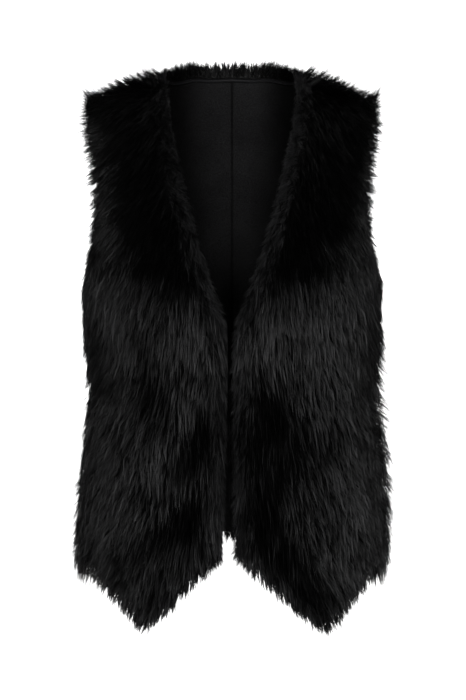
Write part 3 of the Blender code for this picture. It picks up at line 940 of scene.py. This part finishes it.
def material_named(name):
    found = bpy.data.materials.get(name)
    if found:
        return found
    colours = bpy.context.scene.vest_colours
    if name == "combed_pile":
        return pile_material(colours)
    if name == "knitted_ground":
        return cloth_material(name, (0.002, 0.002, 0.0021), 0.9, 0.05, 0.4, Scale=1400.0, Depth=0.5)
    if name == "knitted_inside":
        return cloth_material(name, (0.014, 0.014, 0.0145), 0.9, 0.08, 0.6, Scale=900.0, Depth=0.8)
    if name == "napped_lining":
        # the lining's napped cloth, with painted shade towards the sides and low down, and a painted shadow
        # in its seam
        nap_and_shade = {"Scale": 800.0, "Depth": 0.60, "Sides": 0.20, "Seam": 0.02, "Low": 0.80}
        return cloth_material(name, tuple(colours.lining), 0.85, 0.04, 0.25, **nap_and_shade)
    return cloth_material("satin_cord", tuple(colours.piping), 0.45, 0.15, 0.1, Scale=2500.0, Depth=0.15)


# what a user may change


class VestPile(bpy.types.PropertyGroup):
    length: FloatProperty(
        name="Pile length", description="Length of the guard hair on the body", default=0.0355,
        unit="LENGTH",
    )
    height: FloatProperty(
        name="Pile height", description="How high the combed pile stands off its cloth", default=0.0145,
        unit="LENGTH",
    )
    radius: FloatProperty(
        name="Strand radius", description="Half the width of a strand", default=0.00034, unit="LENGTH"
    )
    lock_spread: FloatProperty(
        name="Lock spread", description="How far apart a lock's strands start", default=0.00088,
        unit="LENGTH",
    )
    front_locks: IntProperty(name="Front locks", description="Locks on each half of a front", default=2100)
    edge_locks: IntProperty(name="Edge locks", description="Locks along each front edge", default=1950)
    rim_locks: IntProperty(name="Rim locks", description="Locks round each armhole", default=640)
    back_locks: IntProperty(name="Back locks", description="Locks on the back", default=2600)
    hem_locks: IntProperty(name="Hem locks", description="Locks along each front's hem", default=380)
    neck_locks: IntProperty(name="Neck locks", description="Locks along the back of the neck", default=1750)
    strands: IntProperty(name="Strands", description="Strands in a lock of long pile", default=6)


class VestColours(bpy.types.PropertyGroup):
    fur_dark: FloatVectorProperty(
        name="Darkest hair", description="Colour of the darkest strands", subtype="COLOR",
        default=(0.0006, 0.0006, 0.0006),
    )
    fur_light: FloatVectorProperty(
        name="Lightest hair", description="Colour of the lightest strands", subtype="COLOR",
        default=(0.100, 0.100, 0.1025),
    )
    fur_roughness: FloatProperty(name="Hair roughness", description="How dull the pile is", default=0.42)
    fur_gloss: FloatProperty(name="Hair gloss", description="How strongly the pile reflects", default=0.25)
    lining: FloatVectorProperty(
        name="Lining", description="Colour of the lining", subtype="COLOR",
        default=(0.0184, 0.0184, 0.0190),
    )
    piping: FloatVectorProperty(
        name="Piping", description="Colour of the neck piping", subtype="COLOR",
        default=(0.010, 0.010, 0.011),
    )
    floor: FloatVectorProperty(
        name="Floor", description="Colour of the floor and backdrop", subtype="COLOR",
        default=(0.90, 0.90, 0.90),
    )


# shared state between the steps

MADE = {}


def panel_named(name):
    """The panel's form as the sewn ground has it, or evenly divided for its pile; worked out once."""
    if name not in MADE:
        for_pile = name.startswith("pile_")
        climbs = row_climbs()
        if for_pile:
            climbs = spread_of(-1.0, 0.0, PILE_ROWS_BELOW_CHEST + 1)
            climbs += spread_of(0.0, 1.0, PILE_ROWS_ABOVE_CHEST + 1)[1:]
        columns = PILE_FRONT_COLUMNS if for_pile else FRONT_COLUMNS
        if name.endswith("front_left"):
            MADE[name] = front_panel(LEFT_CUT, LEFT_FOLDS, climbs, columns)
        elif name.endswith("front_right"):
            MADE[name] = front_panel(RIGHT_CUT, RIGHT_FOLDS, climbs, columns)
        else:
            shares = spread_of(-1.0, 1.0, PILE_BACK_COLUMNS) if for_pile else back_columns()
            MADE[name] = back_panel(shares, climbs)
    return MADE[name]


class VEST_OT_grounds(bpy.types.Operator):
    """Make the knitted ground of the two fronts and the back"""

    bl_idname = "vest.grounds"
    bl_label = "Fur grounds"

    def execute(self, context):
        for name, sign in (("front_left", -1), ("front_right", -1), ("back", 1)):
            panel = panel_named(name)
            vertices, faces = wall_between(panel.points, panel.points + panel.outward * CLOTH)
            vertices[:, 1] = sign * np.maximum(sign * vertices[:, 1], SEWN_GAP / 2)
            knit = material_named("knitted_ground")
            piece = add_mesh(f"ground_{name}", vertices, faces, knit, name != "front_left")
            piece.data.materials.append(material_named("knitted_inside"))
            for polygon in piece.data.polygons[: (panel.rows - 1) * (panel.columns - 1)]:
                polygon.material_index = 1
            finish_piece(piece)
            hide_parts(name)
            MADE[f"ground_{name}"] = piece
        return {"FINISHED"}


def into_panel(grid, outward):
    """The way from a grid's last row into its cloth."""
    into = np.cross(unit(np.gradient(grid[-1], axis=0)), outward)
    return into * np.sign(np.sum(into * (grid[-2] - grid[-1])))


class VEST_OT_lining(bpy.types.Operator):
    """Make the two halves of the back's lining"""

    bl_idname = "vest.lining"
    bl_label = "Back lining"

    def execute(self, context):
        shares = back_columns()
        middle = shares.index(0.0)
        halves = {"back_lining_right": shares[: middle + 1], "back_lining_left": shares[middle:]}
        for name, part in halves.items():
            panel = back_panel(part, row_climbs())
            grid, outward = panel.points.copy(), panel.outward
            into = into_panel(grid, outward[-1])
            at_piping = [under_neck(share) for share in part]
            short = np.where(at_piping, 2 * PIPING_RADIUS + LINING_BELOW_PIPING, LINING_EDGE_INSET)
            # the upper rows give way evenly, so that none of them crosses another
            for back_by in range(NECK_ROWS):
                grid[-1 - back_by] += into * (short * (1 - back_by / NECK_ROWS) ** 2)[:, None]
            for up_by in range(HEM_ROWS):
                up = unit(grid[up_by + 1] - grid[up_by])
                grid[up_by] += up * LINING_HEM_RISE * (1 - up_by / HEM_ROWS) ** 2
            for edge, beside in ((0, 1), (len(part) - 1, len(part) - 2)):
                grid[:, edge] += unit(grid[:, beside] - grid[:, edge]) * LINING_EDGE_INSET
            # the cloth turns in towards the fur at the centre back seam
            inner, beside = (0, 1) if part[0] == 0 else (len(part) - 1, len(part) - 2)
            side = 1 if part[-1] > 0 else -1
            grid[:, inner, 0] = side * LINING_SEAM_X
            grid[:, beside, 0] = side * LINING_SEAM_WIDTH
            dip = np.zeros(len(part))
            dip[inner] = LINING_SEAM_DIP
            outer = grid - outward * LINING_STANDS_OFF
            inside = outer - outward * (LINING_WALL - dip)[None, :, None]
            vertices, faces = wall_between(inside, outer)
            vertices[:, 0] = side * np.maximum(side * vertices[:, 0], SEAM_GAP / 2)
            vertices[:, 1] = np.maximum(vertices[:, 1], SEAM_GAP)
            piece = add_mesh(name + "_cloth", vertices, faces, material_named("napped_lining"), True)
            finish_piece(piece)
            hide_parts(name)
        return {"FINISHED"}


class VEST_OT_piping(bpy.types.Operator):
    """Make the shiny cord along the back of the neck"""

    bl_idname = "vest.piping"
    bl_label = "Neck piping"

    def execute(self, context):
        panel = back_panel([share for share in back_columns() if under_neck(share)], row_climbs())
        grid, outward = panel.points, panel.outward[-1]
        along = unit(np.gradient(grid[-1], axis=0))
        normal = unit(outward - along * np.sum(outward * along, axis=1, keepdims=True))
        into = into_panel(grid, normal)
        centre = grid[-1] - normal * (PIPING_RADIUS + LINING_GAP) + into * PIPING_RADIUS
        centre[:, 1] = np.maximum(centre[:, 1], PIPING_RADIUS + SEAM_GAP)
        bpy.ops.curve.primitive_nurbs_path_add(location=(0, 0, 0))
        piece = context.object
        piece.name = "neck_piping_cord"
        path = piece.data
        path.splines.clear()
        spline = path.splines.new("POLY")
        spline.points.add(len(centre) - 1)
        for point, place_of in zip(spline.points, centre):
            point.co = (*place_of, 1.0)
        path.bevel_depth = PIPING_RADIUS
        path.bevel_resolution = 3
        path.use_fill_caps = True
        bpy.ops.object.convert(target="MESH")
        bpy.ops.object.shade_smooth()
        piece.data.materials.clear()
        piece.data.materials.append(material_named("satin_cord"))
        finish_piece(piece)
        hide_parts("neck_piping")
        return {"FINISHED"}


def armhole_reach(share, climb):
    """How far the pile may pass the armhole's edge; along the side seam it runs on over the other panel."""
    above = 1.25 * eased((climb - 0.12) / 0.15) * eased((1.0 - climb) / 0.2)
    above += 0.95 * eased((climb - 0.22) / 0.1) * eased((0.80 - climb) / 0.15)
    return np.where(climb > UNDERARM_CLIMB, ARMHOLE_OVERHANG * (0.5 + above), SEAM_REACH)


def side_height(share, climb):
    """The pile lies flatter towards the sides, most beside the underarm, where the arm presses on it."""
    flatter = 0.24 * eased((share - 0.82) / 0.18) * eased((0.1 - climb) / 0.2)
    pressed = 0.36 * eased((share - 0.75) / 0.2) * eased((climb + 0.3) / 0.2) * eased((0.45 - climb) / 0.2)
    pressed += 0.22 * eased((share - 0.80) / 0.2) * eased((climb + 0.06) / 0.1) * eased((0.22 - climb) / 0.1)
    return 1 - flatter - pressed


def blend(climb, low, chest, shoulder):
    """A value for the body, the chest and the shoulder, eased from one to the next."""
    t, s = eased((climb + 0.05) / 0.40), eased((climb - 0.58) / 0.42)
    return (low * (1 - t) + chest * t) * (1 - s) + shoulder * s


def ruffled(points, patches):
    """How far the pile stands off (up to 1) or is stroked smooth (below 0) at points of the vest; the same
    value sets its painted shade and painted highlight.
    """
    stand = np.zeros(len(points))
    for patch in patches:
        along = np.array((patch.low_x - patch.top_x, patch.low_z - patch.top_z))
        off = points[:, (0, 2)] - (patch.top_x, patch.top_z)
        share = np.clip(off @ along / (along @ along), 0, 1)
        apart = np.linalg.norm(off - share[:, None] * along, axis=1)
        stand += patch.stand * np.exp(-((apart / patch.reach) ** 2))
    return np.clip(stand, -1, MOST_RUFFLED)


def chest_part(share, climb, side):
    """1 where the pile stands off the chest and its hair is painted in shade, 0 below the line from which it
    lies smooth.
    """
    if side > 0:
        line, blur = 0.018 + 0.03 * share + 0.20 * share**5, 0.08
    else:
        line, blur = -0.040 + 0.10 * share + 0.07 * share**5, 0.12
    return eased((climb - line + blur) / (2 * blur))


def flank(share, climb, side):
    """From waist to hip the pile stands off more on the wearer's left; on the right its waist is flatter."""
    if side > 0:
        fuller = 0.42 * eased((climb + 0.98) / 0.2) * eased((-0.05 - climb) / 0.12)
    else:
        fuller = -0.15 * eased((climb + 0.60) / 0.1) * eased((-0.15 - climb) / 0.1)
    return fuller * eased((share - 0.72) / 0.2)


def hem_reach(share, climb):
    """How far the pile may hang past a front's hem: most beside its outer corner, less at the corner."""
    return HEM_OVERHANG * (1.4 + 1.6 * eased((share - 0.62) / 0.16) - 1.3 * eased((share - 0.86) / 0.10))


def front_style(pile, side):
    """Long pile of a front, combed down and outwards; side is 1 on the wearer's left, -1 on the right."""
    at_neck, fanned = (12, 36) if side > 0 else (42, 28)

    def chest(share, climb):
        return chest_part(share, climb, side)

    def lean(share, climb):
        low = 31 * share - 7 * (1 - share) ** 6 - 8 * eased((share - 0.8) / 0.2)
        return np.radians(
            blend(climb, low, (-5 if side > 0 else 13) + 21 * share, at_neck + fanned * share)
        )

    def height(share, climb):
        shoulder = 1.45 + 0.25 * eased((share - 0.55) / 0.4)
        sides = side_height(share, climb) + flank(share, climb, side)
        return pile.height * blend(climb, 1.0, 1.0, shoulder) * sides

    def tone(share, climb):
        on_chest = chest(share, climb)
        # painted shade: darker towards the sides of the body and the outer chest, where they turn from the
        # light, and a little darker on the wearer's right, as the light falls more on the left
        below = 0.15 * eased((share - 0.50) / 0.25) * (1 - on_chest)
        return (0.52 if side > 0 else 0.495) - below - 0.22 * eased((share - 0.55) / 0.30) * on_chest

    return {
        "straight": False,
        "gather": (0.10, 0.45),
        "lean": lean,
        "turn": 3.5,
        "wave": 6,
        "length": lambda share, climb: pile.length * blend(climb, 1.0, 0.84, 0.55),
        "height": height,
        "depth": 0.55,
        "limits": (hem_reach, NECK_OVERHANG, armhole_reach, RIDGE_OVERHANG),
        "tone": tone,
        "tone_spread": 0.19,
        "stand": chest,
        "side": lambda share, climb: share,
        "patches": LEFT_PATCHES if side > 0 else RIGHT_PATCHES,
        "middle": lambda share, climb: 0.92 + 0.20 * eased((climb - 0.8) / 0.2),
        "droop": lambda share, climb: 0.80
        + 0.80 * eased((share - 0.82) / 0.18) * (1 - chest(share, climb))
        + 0.16 * eased((climb - 0.80) / 0.18),
        "keep_off": ((0, side, side * GAP_CENTRE_X + SEAM_GAP),),
    }


def edge_style(pile, side):
    """Short pile that turns in over the neck edge, painted lighter there as a highlight along its roll."""
    lower_reach = 0.012 if side > 0 else 0.0085

    def reach(share, climb):
        at_shoulder = eased((climb - 0.6) / 0.3)
        return NECK_OVERHANG * (1 + 0.8 * at_shoulder) + (lower_reach - NECK_OVERHANG) * eased(-climb / 0.5)

    def lean(share, climb):
        inwards = (34 if side > 0 else 20) * eased((climb - 0.05) / 0.4)
        return np.radians(-22 - 12 * eased((climb + 0.35) / 0.25) - inwards)

    def tone(share, climb):
        # painted highlight along the edge's roll, strongest on the wearer's left, and painted shade towards
        # the shoulder
        lighter = (0.28 if side > 0 else 0.03) * eased((climb - 0.05) / 0.25)
        return 0.60 + lighter - (0.06 if side > 0 else 0.12) * eased((climb - 0.75) / 0.2)

    return {
        **front_style(pile, side),
        "straight": True,
        "gather": (0.15, 0.60),
        "lean": lean,
        "turn": 17,
        "length": lambda share, climb: 0.0150 + 0.011 * eased((0.1 - climb) / 0.4),
        "height": 0.0175,
        "depth": 0.70,
        "limits": (hem_reach, reach, armhole_reach, RIDGE_OVERHANG),
        "tone": tone,
        "tone_spread": 0.26,
        "stand": 0,
        "patches": (),
        "middle": 0.88,
        "droop": 0.80,
    }


def rim_style(pile, side):
    """Tufts that stand out round a front's armhole and on its shoulder."""
    length, lift = (0.0250, 0.85) if side > 0 else (0.0270, 0.50)

    def droop(share, climb):
        return 0.95 + eased((climb - 0.85) / 0.1) * (0.04 + lift * eased((share - 0.70) / 0.2))

    return {
        **front_style(pile, side),
        "straight": True,
        "gather": (0.02, 0.25),
        "lean": lambda share, climb: np.radians(blend(climb, 40, 54, 74)),
        "turn": 11,
        "length": lambda share, climb: length - 0.010 * eased((climb - 0.8) / 0.15),
        "depth": 0.80,
        # painted shade: the tufts are painted darker on top of the shoulder
        "tone": lambda share, climb: 0.54 - 0.30 * eased((climb - 0.85) / 0.08),
        "droop": droop,
    }


def off_centre(share):
    """0 at the middle of the back and 1 at its sides."""
    return abs(2 * share - 1)


def back_style(pile):
    """Long pile of the back; beside the side seams it goes on the way the front's went."""

    def lean(share, climb):
        side = off_centre(share)
        swept = 3 + 14 * side - 36 * eased((side - 0.68) / 0.32)
        outwards = blend(climb, swept, 12 + 28 * side, 78)
        return np.tanh((2 * share - 1) / 0.10) * np.radians(outwards)

    def tone(share, climb):
        # painted highlight low on the sides, and painted shade over the shoulders
        at_side = 0.10 * eased((off_centre(share) - 0.85) / 0.15) * (climb < 0.1)
        return 0.48 + at_side - 0.30 * eased((climb - 0.82) / 0.12)

    def droop(share, climb):
        at_side = 0.76 * eased((off_centre(share) - 0.84) / 0.16) * eased((0.1 - climb) / 0.2)
        return 0.84 + at_side + 0.42 * eased((climb - 0.84) / 0.16)

    return {
        "straight": False,
        "gather": (0.10, 0.45),
        "lean": lean,
        "turn": 4,
        "wave": 8,
        "length": lambda share, climb: pile.length * blend(climb, 1.15, 1.05, 0.74),
        "height": lambda share, climb: pile.height
        * blend(climb, 1.0, 1.0, 1.25)
        * side_height(off_centre(share), climb),
        "depth": 0.5,
        "limits": (1.25 * HEM_OVERHANG, armhole_reach, armhole_reach, RIDGE_OVERHANG),
        "tone": tone,
        "tone_spread": 0.16,
        "stand": 0,
        "side": lambda share, climb: off_centre(share),
        "patches": BACK_PATCHES,
        "middle": 0.90,
        "droop": droop,
        "keep_off": (),
    }


def back_rim_style(pile):
    """Tufts that stand out round the back's side of the armholes."""
    return {
        **back_style(pile),
        "straight": True,
        "gather": (0.02, 0.25),
        "lean": lambda share, climb: np.sign(share - 0.5) * np.radians(blend(climb, 50, 62, 84)),
        "turn": 11,
        "length": 0.0215,
        "depth": 0.8,
        # painted shade: the tufts are painted darker on top of the shoulders
        "tone": lambda share, climb: 0.50 - 0.25 * eased((climb - 0.8) / 0.12),
    }


def neck_style(pile):
    """Tufts that stand up along the back of the neck, with painted shade that keeps them dark."""
    return {
        **back_style(pile),
        "straight": True,
        "gather": (0.02, 0.30),
        "lean": lambda share, climb: math.pi - np.tanh((2 * share - 1) / 0.2) * 0.45,
        "turn": 20,
        "length": 0.0245,
        "height": 0.0160,
        "depth": 0.90,
        "limits": (HEM_OVERHANG, SEAM_REACH, SEAM_REACH, 2.0 * BACK_NECK_OVERHANG),
        # painted shade: the neck's tufts are painted much darker than the rest of the pile
        "tone": 0.08,
        "patches": (),
        "droop": 1.0,
    }


def back_hem_style(pile):
    return {**back_style(pile), "length": HEM_LOCK, "depth": 0.9, "turn": 8, "patches": ()}


def front_hem_style(pile, side):
    """Locks over a front's hem: longest beside its outer corner, and on the left also at its inner one."""
    combed = front_style(pile, side)

    def length(share, climb):
        outer = eased((share - 0.60) / 0.15) - 1.05 * eased((share - 0.86) / 0.10)
        return HEM_LOCK + HEM_LOCK * outer + 0.014 * (side > 0) * eased((0.15 - share) / 0.1)

    def lean(share, climb):
        inner = np.radians(12) * (side > 0) * eased((0.12 - share) / 0.1)
        return combed["lean"](share, climb) - inner - np.radians(10) * eased((share - 0.72) / 0.2)

    return {
        **combed,
        "lean": lean,
        "turn": 8,
        "length": length,
        "depth": 0.9,
        "limits": (hem_reach, 0.014 if side > 0 else NECK_OVERHANG, armhole_reach, RIDGE_OVERHANG),
        "patches": (),
        "droop": lambda share, climb: 0.80 + 0.20 * eased((share - 0.82) / 0.18),
    }


def metres_in(panel, row, column):
    """How far a place is from the panel's first column."""
    width = np.linalg.norm(np.diff(panel.points, axis=1), axis=2).sum(axis=1)
    return column / (panel.columns - 1) * np.interp(row, np.arange(panel.rows), width)


def body_density(lower):
    """Even in one half of a front's height, thinner under the edge's own pile, denser at the shoulder."""

    def density(panel, row, column):
        half = panel.rows * FRONT_SPLIT
        inside = (row < half) if lower else (row >= half)
        at_shoulder = row > SHOULDER_START * panel.rows
        beside_v = eased((row / half - 0.85) / 0.35)
        thinner = 0.85 * beside_v * eased((EDGE_BAND - metres_in(panel, row, column)) / EDGE_BLUR)
        return inside * (1 + 0.9 * at_shoulder) * (1 - thinner)

    return density


def back_density(panel, row, column):
    return 1.0


def hem_density(panel, row, column):
    return row < 2.6


def edge_density(panel, row, column):
    away = metres_in(panel, row, column)
    return eased((EDGE_BAND + 0.0015 - away) / EDGE_BLUR) * (1 + 1.5 * (away < 0.005))


def rim_density(panel, row, column):
    """Within 10 mm of a front's armhole edge, and on the shoulder."""
    to_edge = metres_in(panel, row, panel.columns - 1) - metres_in(panel, row, column)
    beside = (panel.climb(row) > UNDERARM_CLIMB) * (to_edge < 0.010)
    return np.maximum(beside, 0.8 * (panel.climb(row) > 0.92))


def back_rim_density(panel, row, column):
    return (panel.climb(row) > UNDERARM_CLIMB) * (off_centre(column / (panel.columns - 1)) > 0.90)


def neck_density(panel, row, column):
    side = off_centre(column / (panel.columns - 1))
    return (panel.climb(row) > 0.93) * (side < NECK_SHARE + 0.02)


def grow_on_fronts(kind, seed, style, locks, spread, radius, density):
    """The same short pile on both fronts."""
    pile = bpy.context.scene.vest_pile
    for owner, side, later in (("front_left", 1, 0), ("front_right", -1, 10)):
        name = f"pile_{kind}_{owner}"
        grow(owner, name, seed + later, style(pile, side), locks, TUFT_HAIRS, spread, radius, density)


def grow_on_back(kind, seed, style, locks, spread, radius, density):
    pile = bpy.context.scene.vest_pile
    grow("back", f"pile_{kind}", seed, style(pile), locks, TUFT_HAIRS, spread, radius, density)


class VEST_OT_front_pile(bpy.types.Operator):
    """Grow the long pile of the two fronts"""

    bl_idname = "vest.front_pile"
    bl_label = "Front pile"

    def execute(self, context):
        pile = context.scene.vest_pile
        for owner, side, seed in (("front_left", 1, 110), ("front_right", -1, 120)):
            for part, lower in (("lower", True), ("upper", False)):
                grow(
                    owner, f"pile_{owner}_{part}", seed + lower, front_style(pile, side), pile.front_locks,
                    pile.strands, pile.lock_spread, pile.radius, body_density(lower),
                )
        return {"FINISHED"}


class VEST_OT_edge_pile(bpy.types.Operator):
    """Grow the short pile that turns into the V neck and down the centre front"""

    bl_idname = "vest.edge_pile"
    bl_label = "Edge pile"

    def execute(self, context):
        pile = context.scene.vest_pile
        radius = pile.radius * 0.72
        grow_on_fronts("edge", 310, edge_style, pile.edge_locks, 0.0015, radius, edge_density)
        return {"FINISHED"}


class VEST_OT_rim_pile(bpy.types.Operator):
    """Grow the tufts that stand out round the armholes of the two fronts"""

    bl_idname = "vest.rim_pile"
    bl_label = "Armhole tufts"

    def execute(self, context):
        pile = context.scene.vest_pile
        radius = pile.radius * 1.7
        grow_on_fronts("rim", 330, rim_style, pile.rim_locks, TUFT_SPREAD, radius, rim_density)
        return {"FINISHED"}


class VEST_OT_back_pile(bpy.types.Operator):
    """Grow the long pile of the back, with its armhole tufts"""

    bl_idname = "vest.back_pile"
    bl_label = "Back pile"

    def execute(self, context):
        pile = context.scene.vest_pile
        grow(
            "back", "pile_back", 510, back_style(pile), pile.back_locks,
            pile.strands, pile.lock_spread * 1.2, pile.radius * 1.3, back_density,
        )
        radius = pile.radius * 1.6
        grow_on_back("back_rims", 520, back_rim_style, pile.rim_locks, TUFT_SPREAD, radius, back_rim_density)
        return {"FINISHED"}


class VEST_OT_neck_pile(bpy.types.Operator):
    """Grow the pile that stands up along the back of the neck"""

    bl_idname = "vest.neck_pile"
    bl_label = "Back neck pile"

    def execute(self, context):
        pile = context.scene.vest_pile
        radius = pile.radius * 1.9
        grow_on_back("back_neck", 530, neck_style, pile.neck_locks, 0.0014, radius, neck_density)
        return {"FINISHED"}


class VEST_OT_hem_pile(bpy.types.Operator):
    """Grow the fuller locks that hang over the hems"""

    bl_idname = "vest.hem_pile"
    bl_label = "Hem pile"

    def execute(self, context):
        pile = context.scene.vest_pile
        radius, locks = pile.radius * 1.1, pile.hem_locks
        grow_on_fronts("hem", 350, front_hem_style, locks, TUFT_SPREAD, radius, hem_density)
        radius, locks = pile.radius * 1.5, int(1.25 * pile.hem_locks)
        grow_on_back("hem_back", 370, back_hem_style, locks, TUFT_SPREAD, radius, hem_density)
        return {"FINISHED"}


class VEST_OT_declare(bpy.types.Operator):
    """A step of its own that does nothing."""

    bl_idname = "vest.declare"
    bl_label = "State the cuts"

    def execute(self, context):
        return {"FINISHED"}


Lamp = namedtuple("Lamp", "name place aim size watts")
LAMPS = (
    Lamp("key", (-0.55, -4.3, -1.0), (0, 0, -0.3), (1.0, 0.4), 50),
    Lamp("fill", (0.60, -4.3, -1.0), (0, 0, -0.35), (1.0, 0.4), 50),
    Lamp("top", (0, 0.3, 2.4), (0, 0, -0.2), (2.4, 1.4), 10),
    Lamp("backdrop_left", (-2.6, 2.4, 1.6), (0.4, 7, 0.4), (2.0, 2.0), 300),
    Lamp("backdrop_right", (2.6, 2.4, 1.6), (-0.4, 7, 0.4), (2.0, 2.0), 300),
    Lamp("back_left", (1.3, 4.3, -0.9), (0, 0, -0.3), (1.0, 0.4), 60),
    Lamp("back_right", (-1.3, 4.3, -0.9), (0, 0, -0.3), (1.0, 0.4), 60),
    Lamp("side_left", (4.3, 0.6, -0.9), (0, 0, -0.3), (0.4, 1.0), 13),
    Lamp("side_right", (-4.3, 0.6, -0.9), (0, 0, -0.3), (0.4, 1.0), 13),
)
FLOOR_LEVEL = -1.25
SENSOR_WIDTH = 36.0


class VEST_OT_stage(bpy.types.Operator):
    """Make the pale floor and backdrop, the soft lights and the camera"""

    bl_idname = "vest.stage"
    bl_label = "Stage"

    def surroundings(self, scene):
        """A room that looks pale from every side, but whose own light is faint, as round black fur."""
        world = bpy.data.worlds.new("studio")
        scene.world = world
        world.use_nodes = True
        net = Net(world.node_tree)
        room = net.nodes["Background"].inputs
        room["Color"].default_value = (1, 1, 1, 1)
        seen = net.add("LightPath", {})["Is Camera Ray"]
        net.feed(room["Strength"], net.ranged(seen, 0.0, 1.0, 0.03, 0.80))

    def floor(self, context):
        """A plane that sweeps up behind the vest into a backdrop."""
        bpy.ops.object.select_all(action="DESELECT")
        bpy.ops.mesh.primitive_plane_add(size=1, location=(0, 0, FLOOR_LEVEL))
        floor = context.object
        floor.name = "floor"
        bpy.ops.object.mode_set(mode="EDIT")
        bpy.ops.transform.resize(value=(14, 12, 1))
        bpy.ops.mesh.select_all(action="DESELECT")
        bpy.ops.object.mode_set(mode="OBJECT")
        for edge in floor.data.edges:
            edge.select = all(floor.data.vertices[v].co.y > 5 for v in edge.vertices)
        bpy.ops.object.mode_set(mode="EDIT")
        bpy.ops.mesh.select_mode(type="EDGE")
        for way in ((0, 1.0, 0.25), (0, 0.25, 1.0), (0, 0, 7.0)):
            bpy.ops.mesh.extrude_region_move(TRANSFORM_OT_translate={"value": way})
        bpy.ops.object.mode_set(mode="OBJECT")
        bpy.ops.object.transform_apply(location=True, rotation=True, scale=True)
        rounding = floor.modifiers.new("sweep", "SUBSURF")
        rounding.levels = rounding.render_levels = 3
        bpy.ops.object.modifier_apply(modifier=rounding.name)
        bpy.ops.object.shade_smooth()
        colour = tuple(context.scene.vest_colours.floor)
        floor.data.materials.append(plain_material("pale_floor", colour, 0.9)[0])

    def lights(self, scene):
        for lamp in LAMPS:
            data = bpy.data.lights.new(lamp.name, "AREA")
            data.shape = "RECTANGLE"
            data.size, data.size_y = lamp.size
            data.energy = lamp.watts
            made = bpy.data.objects.new(lamp.name, data)
            made.location = lamp.place
            ahead = Vector(lamp.aim) - Vector(lamp.place)
            made.rotation_euler = ahead.to_track_quat("-Z", "Y").to_euler()
            made.visible_camera = False
            scene.collection.objects.link(made)

    def camera(self, scene):
        data = bpy.data.cameras.new("camera")
        data.sensor_fit = "AUTO"
        data.sensor_width = SENSOR_WIDTH
        data.lens = SENSOR_WIDTH * CAMERA_DISTANCE / (IMAGE_HEIGHT * METRES_PER_PIXEL)
        data.clip_end = 60.0
        camera = bpy.data.objects.new("camera", data)
        camera.location = (VIEW_CENTRE_X, -CAMERA_DISTANCE, VIEW_CENTRE_Z)
        camera.rotation_euler = (math.pi / 2, 0, 0)
        scene.collection.objects.link(camera)
        scene.camera = camera

    def execute(self, context):
        self.floor(context)
        self.lights(context.scene)
        self.surroundings(context.scene)
        self.camera(context.scene)
        context.scene.view_settings.view_transform = "Standard"
        return {"FINISHED"}


class VEST_PT_panel(bpy.types.Panel):
    """The steps that make the vest, and the values that they use"""

    bl_label = "Faux fur vest"
    bl_idname = "VEST_PT_panel"
    bl_space_type = "VIEW_3D"
    bl_region_type = "UI"
    bl_category = "Vest"

    def draw(self, context):
        layout = self.layout
        for step in STEPS:
            layout.operator(step.bl_idname)
        for group in (context.scene.vest_pile, context.scene.vest_colours):
            box = layout.box()
            for name in group.__annotations__:
                box.prop(group, name)


STEPS = (
    VEST_OT_grounds,
    VEST_OT_lining,
    VEST_OT_piping,
    VEST_OT_front_pile,
    VEST_OT_edge_pile,
    VEST_OT_rim_pile,
    VEST_OT_back_pile,
    VEST_OT_neck_pile,
    VEST_OT_hem_pile,
    VEST_OT_declare,
    VEST_OT_stage,
)
CLASSES = (VestPile, VestColours, *STEPS, VEST_PT_panel)


def register():
    for each_class in CLASSES:
        bpy.utils.register_class(each_class)
    bpy.types.Scene.vest_pile = PointerProperty(type=VestPile)
    bpy.types.Scene.vest_colours = PointerProperty(type=VestColours)


def unregister():
    del bpy.types.Scene.vest_colours
    del bpy.types.Scene.vest_pile
    for each_class in reversed(CLASSES):
        bpy.utils.unregister_class(each_class)


def main():
    register()
    bpy.ops.object.select_all(action="DESELECT")
    bpy.ops.vest.grounds()
    bpy.ops.vest.lining()
    bpy.ops.vest.piping()
    bpy.ops.vest.front_pile()
    bpy.ops.vest.edge_pile()
    bpy.ops.vest.rim_pile()
    bpy.ops.vest.back_pile()
    bpy.ops.vest.neck_pile()
    bpy.ops.vest.hem_pile()
    bpy.ops.vest.declare()
    bpy.ops.vest.stage()


if __name__ == "__main__":
    main()
